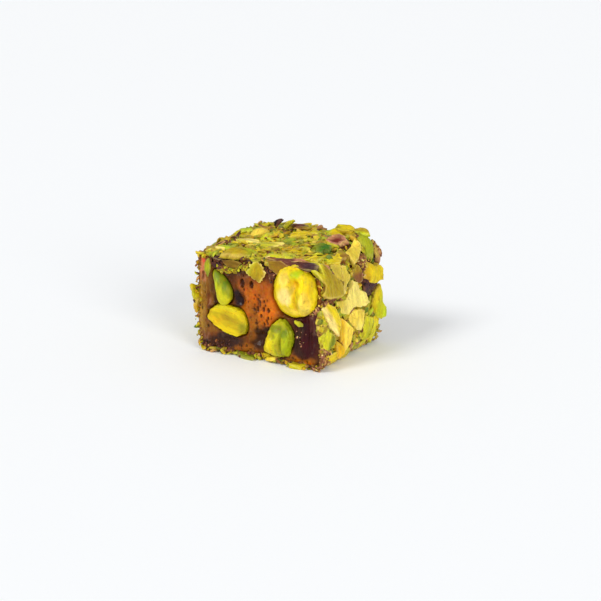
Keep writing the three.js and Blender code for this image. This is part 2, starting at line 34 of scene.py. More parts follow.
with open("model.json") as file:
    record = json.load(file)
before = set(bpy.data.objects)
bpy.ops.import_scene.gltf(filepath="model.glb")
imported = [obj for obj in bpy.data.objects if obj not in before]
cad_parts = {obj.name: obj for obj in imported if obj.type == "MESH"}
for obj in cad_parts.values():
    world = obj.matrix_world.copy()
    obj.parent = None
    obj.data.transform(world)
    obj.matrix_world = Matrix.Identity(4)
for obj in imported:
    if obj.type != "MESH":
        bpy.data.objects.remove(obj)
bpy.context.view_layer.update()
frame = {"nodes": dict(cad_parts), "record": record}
print("frame loaded:", len(frame["nodes"]), "solids")

mm = 0.001
roll = {
    "width": 39.1, "depth": 32.0, "height": 28.0,  # over the coating, between the cuts, at the front
    "topRise": 2.0,  # how much higher the top is at the back
    "coating": 1.6, "thinCoating": 0.3, "pressedCoating": 1.1,  # top and right, left, underneath
    "cornerRadii": (4.6, 3.0, 2.8, 1.4),  # top right, low right, low left, top left
    "middleAcross": -0.95,  # x of the jelly's middle
    "sunk": 0.45,  # how deep the nuts sit in the jelly
    "cutRelief": 0.8, "edgeRound": 0.9,  # how far the cut jelly sits back, and its rims again
}
halfWidth = (roll["width"] - roll["coating"] - roll["thinCoating"]) / 2
halfHeight = (roll["height"] - roll["coating"] - roll["pressedCoating"]) / 2
middleHeight = roll["pressedCoating"] + halfHeight
halfDepth = roll["depth"] / 2

# The four sides, clockwise from the top as seen from the front. Each ends with the corner after it.
sideOut = np.array([halfHeight, halfWidth, halfHeight, halfWidth])
sideHalf = np.array([halfWidth, halfHeight, halfWidth, halfHeight])
radiusAfter = np.array(roll["cornerRadii"])
radiusBefore = np.roll(radiusAfter, 1)
straight = 2 * sideHalf - radiusBefore - radiusAfter
arc = np.pi / 2 * radiusAfter
sideEnd = np.cumsum(straight + arc)
outlineLength = sideEnd[-1]
sideStart = sideEnd - straight - arc - (halfWidth - radiusBefore[0])
cornerMiddle = sideStart + straight + arc / 2


# A side's own along and out, turned by quarter turns: (a, o), (o, -a), (-a, -o), (-o, a).
def turned(turns, along, out):
    across = np.choose(turns, [along, out, -along, -out])
    up = np.choose(turns, [out, -along, -out, along])
    return across, up


# Outline of a rounded rectangle by distance clockwise from the middle of the top: straight stretches,
# then arcs at angle = (distance past the straight) / radius. Gives place, outward way, way to a corner.
def outlineAt(distance):
    left = np.mod(distance - sideStart[0], outlineLength)
    turns = np.minimum(np.searchsorted(sideEnd, left, side="right"), 3)
    left = left - (sideEnd - straight - arc)[turns]
    radius = radiusAfter[turns]
    onArc = left > straight[turns]
    angle = np.where(onArc, left - straight[turns], 0) / radius
    onStraight = left + radiusBefore[turns] - sideHalf[turns]
    along = np.where(onArc, sideHalf[turns] - radius * (1 - np.sin(angle)), onStraight)
    out = sideOut[turns] - radius * (1 - np.cos(angle))
    pastStraight = left - straight[turns]
    fromCorners = np.minimum(left + np.pi / 4 * radiusBefore[turns], arc[turns] / 2 - pastStraight)
    toCorner = np.where(onArc, np.abs(pastStraight - arc[turns] / 2), fromCorners)
    return *turned(turns, along, out), *turned(turns, np.sin(angle), np.cos(angle)), toCorner


# Shallow waves of the soft jelly: two sines round the roll, the second drifting along it.
def swell(distance, y):
    way = 2 * np.pi * distance / outlineLength
    return 0.28 * np.sin(3 * way + 1.3) + 0.2 * np.sin(5 * way + 0.21 * y)


# Height of a point of the outline: the upper half climbs towards the back in proportion to y.
def heightOf(z, y):
    climbed = roll["topRise"] * (y + halfDepth) / roll["depth"]
    return middleHeight + z + np.maximum(0, z) / halfHeight * climbed


# The coated surface: outline point + outward way x swell. Gives point, outward way, way round, corner.
def coatSurface(distance, y):
    distance, y = np.broadcast_arrays(distance, y)
    x, z, nx, nz, toCorner = outlineAt(distance)
    zero = np.zeros_like(x)
    out = np.stack([nx, zero, nz], -1)
    point = np.stack([roll["middleAcross"] + x, y, heightOf(z, y)], -1) + out * swell(distance, y)[..., None]
    return point, out, np.stack([nz, zero, -nx], -1), toCorner


def onSide(turns, along):
    return sideStart[turns] + sideHalf[turns] - radiusBefore[turns] + along


def onTop(x):
    return onSide(0, x - roll["middleAcross"])


def onRight(z):
    return onSide(1, middleHeight - z)


def onUnderside(x):
    return onSide(2, roll["middleAcross"] - x)


def onLeft(z):
    return onSide(3, z - middleHeight)


# Even noise in -1..1: hashed corner values of a cubic grid of the given size, blended by 3t^2 - 2t^3.
def grainNoise(points, size, seed=0):
    place = np.asarray(points, float) / size + 1000
    cell = np.floor(place).astype(np.int64)
    part = place - cell
    part = part * part * (3 - 2 * part)
    total = np.zeros(place.shape[:-1])
    for corner in np.ndindex(2, 2, 2):
        c = cell + corner
        mixed = c[..., 0] * 73856093 ^ c[..., 1] * 19349663 ^ c[..., 2] * 83492791 ^ (seed + 1) * 2654435761
        mixed = (mixed ^ mixed >> 13) * 1274126177 & 0xFFFFFFFF
        mixed = (mixed ^ mixed >> 16) & 0xFFFFFF
        weight = np.where(corner, part, 1 - part).prod(-1)
        total += weight * mixed / 0xFFFFFF
    return 2 * total - 1


# Finer and finer noise added up, each half as strong as the last.
def roughNoise(points, size, layers=3, seed=0):
    return sum(grainNoise(points, size / 2**k, seed + 7 * k) / 2**k for k in range(layers))


# A repeatable draw from 0 to 1 for each numbered piece and purpose, the same as the solids' scatter.
def draw(piece, purpose):
    value = np.sin(piece * 12.9898 + purpose * 78.233) * 43758.5453
    return value - np.floor(value)


def between(limits, share):
    return limits[0] + (limits[1] - limits[0]) * share


# Turns a pair of coordinates by an angle.
def rotated(a, b, angle):
    return a * np.cos(angle) - b * np.sin(angle), a * np.sin(angle) + b * np.cos(angle)


# The shorter way round the roll to a distance from another one.
def wayRoundFrom(start, distance):
    return (np.mod((distance - start) / outlineLength + 0.5, 1) - 0.5) * outlineLength


# Groups of pieces are arrays by word, one value for each piece.
def chosen(nuts, kept):
    return {word: values[kept] for word, values in nuts.items()}


def joined(*groups):
    return {word: np.concatenate([group[word] for group in groups]) for word in groups[0]}


def smoothStep(low, high, value):
    t = np.clip((value - low) / (high - low), 0, 1)
    return t * t * (3 - 2 * t)


# sRGB hex to linear red, green and blue.
def shade(hexValue):
    srgb = np.array([int(hexValue[k:k + 2], 16) for k in (1, 3, 5)]) / 255
    return np.where(srgb <= 0.04045, srgb / 12.92, ((srgb + 0.055) / 1.055) ** 2.4)


def shades(hexValues):
    return {name: shade(hexValue) for name, hexValue in hexValues.items()}


def blend(a, b, share):
    share = np.asarray(share)[..., None]
    return a * (1 - share) + b * share


origin = np.zeros(3)  # of the solids' frame, found further down from one of them

# Degrees past which an edge stays crisp; at 0 every face of a piece does.
crisp = {"flake": 38, "chip": 30, "skin": 45, "kernel": 50, "crumb": 0}
# Where each kind of piece starts its numbers, so that no two draw alike, and how many numbers each
# patch, cut face and line of crumbs has to itself.
firstNumber = {
    "large": 700, "edge": 800, "onCut": 900, "chips": 2000.0, "skins": 4000.0, "placedSkins": 4500,
    "greenCrumbs": 10000.0, "brownCrumbs": 20000.0, "patchCrumbs": 24000.0, "cutCrumbs": 30000.0,
}
numbersEach = {"patch": 500, "cutFace": 3000, "line": 400}


# Faces of many closed shells, each one end point, rings of points and another end point.
def shellFaces(count, rings, around):
    step = np.arange(around)
    after = np.roll(step, -1)
    start = 1 + np.arange(rings - 1)[:, None] * around
    quads = np.stack([start + step, start + around + step, start + around + after, start + after], -1)
    last = 1 + (rings - 1) * around
    first = np.stack([0 * step, 1 + step, 1 + after], -1)
    closing = np.stack([last + around + 0 * step, last + after, last + step], -1)
    offset = np.arange(count)[:, None, None] * (2 + rings * around)
    triangles = (np.concatenate([first, closing]) + offset).reshape(-1, 3)
    return [(quads.reshape(-1, 4) + offset).reshape(-1, 4), triangles]


# One mesh object from points in millimetres, arrays of faces, and for each point a linear colour and
# its place along the nut's fibres. crease is the angle in degrees past which an edge stays crisp.
def makePiece(name, points, faces, material, paint, replaced=(), grain=None, crease=None):
    mesh = bpy.data.meshes.new(name)
    points = np.asarray(points).reshape(-1, 3)
    mesh.vertices.add(len(points))
    mesh.vertices.foreach_set("co", ((points + origin) * mm).astype(np.float32).ravel())
    loops = np.concatenate([f.ravel() for f in faces]).astype(np.int32)
    sizes = np.concatenate([np.full(len(f), f.shape[1]) for f in faces])
    mesh.loops.add(len(loops))
    mesh.loops.foreach_set("vertex_index", loops)
    mesh.polygons.add(len(sizes))
    mesh.polygons.foreach_set("loop_start", np.concatenate([[0], np.cumsum(sizes)[:-1]]).astype(np.int32))
    mesh.update(calc_edges=True)
    mesh.polygons.foreach_set("use_smooth", np.full(len(sizes), crease != 0))
    if crease:
        mesh.set_sharp_from_angle(angle=np.radians(crease))
    colours = np.ones((len(points), 4), np.float32)
    colours[:, :3] = np.asarray(paint).reshape(-1, 3)
    mesh.color_attributes.new("paint", "FLOAT_COLOR", "POINT").data.foreach_set("color", colours.ravel())
    along = (points if grain is None else grain.reshape(-1, 3)).astype(np.float32)
    mesh.attributes.new("grain", "FLOAT_VECTOR", "POINT").data.foreach_set("vector", along.ravel())
    mesh.materials.append(material)
    piece = bpy.data.objects.new(name, mesh)
    bpy.context.scene.collection.objects.link(piece)
    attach(piece, "root")
    if replaced:
        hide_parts(*replaced)
    print(name, len(points), "points")


# Adds a shader node with its own settings, its input values, and links from other nodes' outputs.
def addNode(tree, kind, values=None, links=None, **settings):
    node = tree.nodes.new(kind)
    for name, value in settings.items():
        setattr(node, name, value)
    for name, value in (values or {}).items():
        node.inputs[name].default_value = value
    for name, output in (links or {}).items():
        tree.links.new(output, node.inputs[name])
    return node


# A food surface: the piece's own colours made lighter and darker in patches, with relief of two
# grains, and light that goes a little way in. It reads the "grain" places, in millimetres.
def foodMaterial(name, look):
    material = bpy.data.materials.new(name)
    material.use_nodes = True
    tree = material.node_tree
    tree.nodes.clear()
    place = addNode(tree, "ShaderNodeAttribute", attribute_name="grain").outputs["Vector"]
    paint = addNode(tree, "ShaderNodeAttribute", attribute_name="paint").outputs["Color"]

    def noise(size, detail):
        values = {"Scale": 1 / size, "Detail": detail, "Roughness": 0.6}
        return addNode(tree, "ShaderNodeTexNoise", values, {"Vector": place}).outputs["Fac"]

    def ranged(value, low, high):
        limits = {"From Min": 0.3, "From Max": 0.7, "To Min": low, "To Max": high}
        return addNode(tree, "ShaderNodeMapRange", limits, {"Value": value}).outputs["Result"]

    patches, coarse, fine = noise(look["patch"], 3.0), noise(look["coarse"], 2.0), noise(look["fine"], 2.0)
    uneven = ranged(patches, 1 - look["uneven"], 1 + look["uneven"])
    speckled = ranged(fine, 1 - look["speckle"], 1 + look["speckle"])
    product = addNode(tree, "ShaderNodeMath", None, {0: uneven, 1: speckled}, operation="MULTIPLY")
    value = product.outputs["Value"]
    hue = ranged(coarse, 0.5 - look["hue"], 0.5 + look["hue"])
    tint = addNode(tree, "ShaderNodeHueSaturation", None, {"Color": paint, "Value": value, "Hue": hue})

    def relief(depth, links):
        values = {"Strength": 1.0, "Distance": depth * mm}
        return addNode(tree, "ShaderNodeBump", values, links).outputs["Normal"]

    bumped = relief(look["coarseDepth"], {"Height": coarse})
    normal = relief(look["fineDepth"], {"Height": fine, "Normal": bumped})
    settings = {
        "IOR": look["ior"], "Specular IOR Level": look["shine"], "Coat Weight": look["coat"],
        "Coat Roughness": look["coatRough"], "Subsurface Weight": look["glow"],
        "Subsurface Radius": look["glowWays"], "Subsurface Scale": look["glowDepth"] * mm,
    }
    gloss = ranged(coarse, look["rough"] * 0.8, look["rough"] * 1.25)
    links = {"Base Color": tint.outputs["Color"], "Roughness": gloss, "Normal": normal}
    surface = addNode(tree, "ShaderNodeBsdfPrincipled", settings, links)
    addNode(tree, "ShaderNodeOutputMaterial", None, {"Surface": surface.outputs["BSDF"]})
    return material


# Starch jelly, set and knife-cut: wet gloss, and light goes in and comes back orange.
jellyLook = {
    "patch": 2.2, "uneven": 0.2, "speckle": 0.06, "hue": 0.008, "coarse": 0.9, "coarseDepth": 0.12,
    "fine": 0.26, "fineDepth": 0.035, "rough": 0.22, "ior": 1.45, "shine": 0.14, "coat": 0.05,
    "coatRough": 0.1, "glow": 0.15, "glowWays": (1.0, 0.4, 0.08), "glowDepth": 1.4,
}
# Pistachio flesh, flaked or broken: fine and waxy, satin, with a soft glow.
fleshLook = {
    "patch": 0.9, "uneven": 0.2, "speckle": 0.13, "hue": 0.012, "coarse": 0.5, "coarseDepth": 0.2,
    "fine": 0.16, "fineDepth": 0.07, "rough": 0.4, "ior": 1.46, "shine": 0.2, "coat": 0.0, "coatRough": 0.3,
    "glow": 0.1, "glowWays": (1.0, 0.8, 0.1), "glowDepth": 0.6,
}
# Whole kernels with the skin rubbed off: smoother than the flakes, and oily enough to shine.
kernelLook = {
    **fleshLook, "patch": 1.4, "uneven": 0.14, "speckle": 0.07, "coarse": 0.6, "coarseDepth": 0.1,
    "fineDepth": 0.035, "rough": 0.34,
}
# The nut's skin: papery, wrinkled and dry, with a faint sheen on its folds.
skinLook = {**fleshLook, "uneven": 0.45, "coarse": 0.4, "coarseDepth": 0.24, "rough": 0.36, "glow": 0.0}
# Nuts chopped to crumbs: dull, because every grain is a broken face.
crumbLook = {**fleshLook, "uneven": 0.3, "coarse": 0.35, "rough": 0.6, "shine": 0.3}

jellyMaterial = foodMaterial("cutFruitJelly", jellyLook)
fleshMaterial = foodMaterial("flakedPistachioFlesh", fleshLook)
kernelMaterial = foodMaterial("rubbedPistachioKernel", kernelLook)
skinMaterial = foodMaterial("paperyPistachioSkin", skinLook)
crumbMaterial = foodMaterial("choppedPistachio", crumbLook)

# Outlines of the cut nut pieces as shares of their half length and half width.
nutOutlines = {
    "sliver": [(-1, -0.2), (-0.35, -1), (0.6, -0.9), (1, 0.15), (0.35, 1), (-0.65, 0.85)],
    "slice": [
        (-1, 0), (-0.72, -0.72), (0, -1), (0.7, -0.75), (1, 0.05), (0.75, 0.7), (0.05, 1), (-0.68, 0.74),
    ],
    "chunk": [(-1, -0.6), (0.1, -1), (1, -0.35), (0.8, 0.75), (-0.2, 1), (-0.95, 0.5)],
    "bent": [(-1, -1), (1, -1), (1, 1), (-1, 1)],
}
mostCorners = 12


# Corners in order round their middle, padded to the same number by repeating the last.
def inOrder(corners):
    corners = np.array(corners, float)
    corners = corners[np.argsort(np.arctan2(corners[:, 1], corners[:, 0]))]
    return np.concatenate([corners, np.repeat(corners[-1:], mostCorners - len(corners), 0)])


cutCorners = {cut: inOrder(corners) for cut, corners in nutOutlines.items()}
scatteredCuts = np.stack([cutCorners[cut] for cut in ("sliver", "slice", "chunk")])


def cornersOf(nut):
    if "corners" in nut:
        return inOrder(nut["corners"])
    return cutCorners[nut["cut"]] * [nut["long"] / 2, nut["wide"] / 2]


# Points spaced evenly round each closed outline: on the edge whose end first passes the way gone.
def roundOutline(corners, around):
    edge = np.roll(corners, -1, 1) - corners
    length = np.hypot(edge[..., 0], edge[..., 1])
    end = np.cumsum(length, 1)
    gone = np.arange(around) / around * end[:, -1:]
    which = (gone[:, :, None] >= end[:, None, :]).sum(-1)
    share = (gone - np.take_along_axis(end - length, which, 1)) / np.take_along_axis(length, which, 1)
    start, way = (np.take_along_axis(values, which[..., None], 1) for values in (corners, edge))
    return start + way * share[..., None]


# Radius of an outline at each angle round its middle, between densely spaced points of it.
def radiusAt(outline, angle):
    turn = np.arctan2(outline[:, 1], outline[:, 0])
    return np.interp(angle, turn, np.hypot(outline[:, 0], outline[:, 1]), period=2 * np.pi)


# From the middle of the outer face over the rim to the middle of the inner one: share of the outline,
# level through the thickness.
flakeProfile = [(0.35, 1), (0.65, 1), (0.86, 1), (0.96, 0.96), (1, 0.8), (1, 0.3), (0.95, 0.04), (0.6, 0)]
chipProfile = [(0.9, 1), (1, 0.45), (0.82, 0)]


# Closed shells of torn nut. A profile carries the outline over the rim, torn in and out by noise.
# z = thick x level x (1 + wedge x way across - the deepest of three tilted facets) + fibres of the
# tear, domed where it is thick or dished; then the piece curls: z - bend x^2 / 2 - cup y^2 / 2 + twist x y.
def nutShells(nuts, profile, around):
    count = len(nuts["number"])
    each = {word: values[:, None] for word, values in nuts.items()}
    number = each["number"]
    share, level = np.array(profile, float).T
    rim = roundOutline(nuts["corners"], around)
    middle = np.zeros((count, 1, 2))
    flat = np.concatenate([middle, (rim[:, None] * share[:, None, None]).reshape(count, -1, 2), middle], 1)
    level = np.concatenate([[1], np.repeat(level, around), [0]])
    edge = np.concatenate([[0], np.repeat(share, around), [0]])
    reach = np.hypot(rim[..., 0], rim[..., 1]).mean(1)[:, None]

    def wayAcross(turn):
        return (flat[..., 0] * np.cos(turn) + flat[..., 1] * np.sin(turn)) / reach

    fall = 0
    for k in range(3):
        across = wayAcross(2 * np.pi * (k + draw(number, 61 + k)) / 3)
        fall = np.maximum(fall, np.clip(across - 0.6 * draw(number, 64 + k), 0, None) * draw(number, 67 + k))
    upper = 1 + each["wedge"] * wayAcross(2 * np.pi * draw(number, 60))
    dome = 0.55 * smoothStep(1.6, 2.6, each["thick"]) * edge**3
    upper = (upper - np.minimum(each["facet"] * fall, 0.65)) * (1 - dome)
    z = each["thick"] * level * upper - each["dish"] * level * smoothStep(0.9, 0.3, edge)
    own = 100 * np.stack([draw(number, 31), draw(number, 32), draw(number, 33)], -1)
    place = np.concatenate([flat, z[..., None]], -1) + own
    alongFibres, acrossFibres = rotated(place[..., 0], place[..., 1], -each["fibreTurn"])
    grain = np.stack([0.3 * alongFibres, acrossFibres, place[..., 2]], -1)
    fibre = roughNoise(grain, 1.1, 2)
    tear = 0.7 * grainNoise(place, 1.5, 5) + 0.5 * grainNoise(place, 0.6, 6) + 0.4 * grainNoise(place, 0.3, 7)
    z = z + each["relief"] * fibre * level
    away = np.maximum(np.hypot(flat[..., 0], flat[..., 1]), 1e-6)
    flat = flat * (1 + each["ragged"] * tear * edge**6 / away)[..., None]
    x, y = flat[..., 0], flat[..., 1]
    y = y * (1 - each["taper"] * (x / np.abs(x).max(1, keepdims=True)) ** 2)
    z = z - each["bend"] * x**2 / 2 - each["cup"] * y**2 / 2 + each["twist"] * x * y
    toSkin = wayAcross(each["skinTurn"]) * each["skinSharp"]
    return {"points": np.stack([x, y, z], -1), "grain": grain, "level": level, "edge": edge, "toSkin": toSkin}


# Lays pieces on the coated surface. bearing turns the length from the roll's axis towards the way
# round it, tip lifts the far end and heel rolls a piece about its own length.
def laidOnCoat(points, nuts):
    spot, out, wayRound, _ = coatSurface(nuts["distance"], nuts["y"])
    bearing, tip, heel = (nuts[word][:, None] for word in ("bearing", "tip", "heel"))
    length = np.cos(bearing) * np.array([0, 1.0, 0]) + np.sin(bearing) * wayRound
    across = np.cross(out, length)
    x, y, z = np.moveaxis(points, -1, 0)
    y, z = rotated(y, z, heel)
    x, z = rotated(x, z, tip)
    placed = x[..., None] * length[:, None] + y[..., None] * across[:, None] + z[..., None] * out[:, None]
    return placed + (spot + out * nuts["lift"][:, None])[:, None]


# Flattens what would go through the table or past the knife, whose cut wavers a little.
def trimmed(points):
    points = points.copy()
    points[..., 2] = np.maximum(points[..., 2], 0)
    blade = halfDepth + 0.25 * grainNoise(points * [1, 0, 1], 1.3)
    points[..., 1] = np.clip(points[..., 1], -blade, blade)
    return points


# Nut colours. Flesh is yellow inside and greener towards the skin, which is brown and purple.
nutColours = shades({
    "yellow": "#d6bc0c", "gold": "#d8a80c", "pale": "#f2d248", "cream": "#f8dd80", "lime": "#c6c01a",
    "butter": "#e4c810", "straw": "#d6bc3c", "primrose": "#f4de6e", "ochre": "#96700e",
    "bright": "#b4c412", "green": "#9ba014", "leaf": "#7f8612", "deep": "#3c6a14", "olive": "#a88e0e",
    "sand": "#cba63c", "tan": "#bb8a50", "brown": "#804e20", "rose": "#b4785a", "skin": "#653628",
    "plum": "#3e1c22", "black": "#160d10", "wine": "#6a1c14",
})
slots = {part["node"]: part["material_slot"] for part in frame["record"]["subparts"]}


# Colours over nut shells: from flesh to the skin's side across each piece, in streaks along its
# fibres, browner in specks, paler on the rim (partly torn flesh, partly painted highlight), and darker on
# each piece's underside, which is painted shade.
def nutPaint(nuts, shell):
    each = {word: values[:, None] for word, values in nuts.items()}
    patches = roughNoise(shell["grain"], 1.6, 2, 40)
    share = smoothStep(-0.1, 0.9, shell["toSkin"] + 0.45 * patches + 1.6 * each["greenness"] - 0.8)
    paint = blend(each["flesh"], each["skinSide"], share)
    streaks = grainNoise(shell["grain"], 0.5, 41) + 0.6 * grainNoise(shell["grain"], 1.2, 43)
    paint = paint * (1 + 0.13 * streaks)[..., None]
    heart = each["heart"] * smoothStep(0.75, 0.4, shell["edge"] + 0.2 * patches) * (shell["level"] > 0.5)
    paint = blend(paint, nutColours["wine"], heart)
    # paler rim: partly the torn flesh's own tone, partly painted highlight where light catches and shines
    # through the thin edge
    paleLitRim = smoothStep(0.84, 0.99, shell["edge"]) * smoothStep(0.2, 0.7, shell["level"])
    paint = blend(paint, 0.5 * paint + 0.55 * nutColours["cream"], 0.45 * paleLitRim * each["paleRim"])
    specks = smoothStep(0.5, 0.85, roughNoise(shell["grain"] * [2, 1, 1], 0.8, 2, 42))
    paint = blend(paint, nutColours["brown"], 0.5 * specks)
    # painted shade: each piece darker towards its underside
    paint = blend(paint, paint * 0.6, 0.5 * smoothStep(0.4, 0.0, shell["level"]))
    # shadeDarkening is painted shade laid over whole pieces
    return paint * (between((0.86, 1.1), draw(each["number"], 45)) * (1 - each["shadeDarkening"]))[..., None]


# What a group of nuts doesn't say, by draw: how each is torn, wedged, faceted and curled.
def withHabits(nuts, ragged=0.35, relief=0.1, facet=0.8, bend=0.03):
    n = nuts["number"]
    habits = {word: 0 * n for word in ("heel", "tip", "taper", "fibreTurn", "shadeDarkening", "dish", "heart")}
    habits |= {word: 1 + 0 * n for word in ("paleRim", "skinSharp")}
    habits |= {
        "lift": 0 * n - roll["sunk"],
        "ragged": ragged * between((0.6, 1.3), draw(n, 53)),
        "relief": relief * between((0.6, 1.3), draw(n, 54)),
        "facet": facet * between((0.4, 1.2), draw(n, 52)),
        "wedge": 0.35 * (draw(n, 51) - 0.5),
        "bend": bend * between((-0.5, 1.5), draw(n, 56)),
        "cup": bend * between((0, 1.4), draw(n, 57)),
        "twist": bend * (draw(n, 55) - 0.5),
        "skinTurn": 2 * np.pi * draw(n, 41),
        "greenness": between((0.2, 0.8), draw(n, 58)),
    }
    return {**habits, **nuts}


# Rows of nut pieces, numbered from first, as arrays: what the rows say stands before the habits.
def asNuts(rows, first, **habits):
    number = first + np.arange(len(rows), dtype=float)
    nuts = withHabits({"number": number}, **habits)
    for word in ("distance", "y", "bearing", "thick", *nuts):
        if word != "number":
            given = [row.get(word, nuts[word][k] if word in nuts else 0) for k, row in enumerate(rows)]
            nuts[word] = np.array(given, float)
    nuts["corners"] = np.stack([cornersOf(row) for row in rows])
    for word in ("flesh", "skinSide"):
        nuts[word] = np.stack([nutColours[row[word]] for row in rows])
    return nuts


# Fleshes and skin sides by draw, from a mixture of "flesh side": share.
def fromMixture(mixture, number):
    shares = np.cumsum(list(mixture.values()))
    pick = np.searchsorted(shares / shares[-1], draw(number, 50))
    pairs = np.array([[nutColours[word] for word in names.split()] for names in mixture])
    return {"flesh": pairs[pick, 0], "skinSide": pairs[pick, 1]}


# One nut piece: the name of its cut, with length, width and thickness, or corners of its own, with a
# thickness; where round the roll and along it; its bearing; its flesh and skin side; and other habits.
def nut(shape, size, distance, y, bearing, colours, **habits):
    flesh, skinSide = colours.split()
    row = dict(distance=distance, y=y, bearing=bearing, flesh=flesh, skinSide=skinSide, **habits)
    if isinstance(shape, str):
        return dict(row, cut=shape, long=size[0], wide=size[1], thick=size[2])
    return dict(row, corners=shape, thick=size)


unbroken = {"facet": 0.2, "bend": 0.0}  # pieces that came off whole and flat

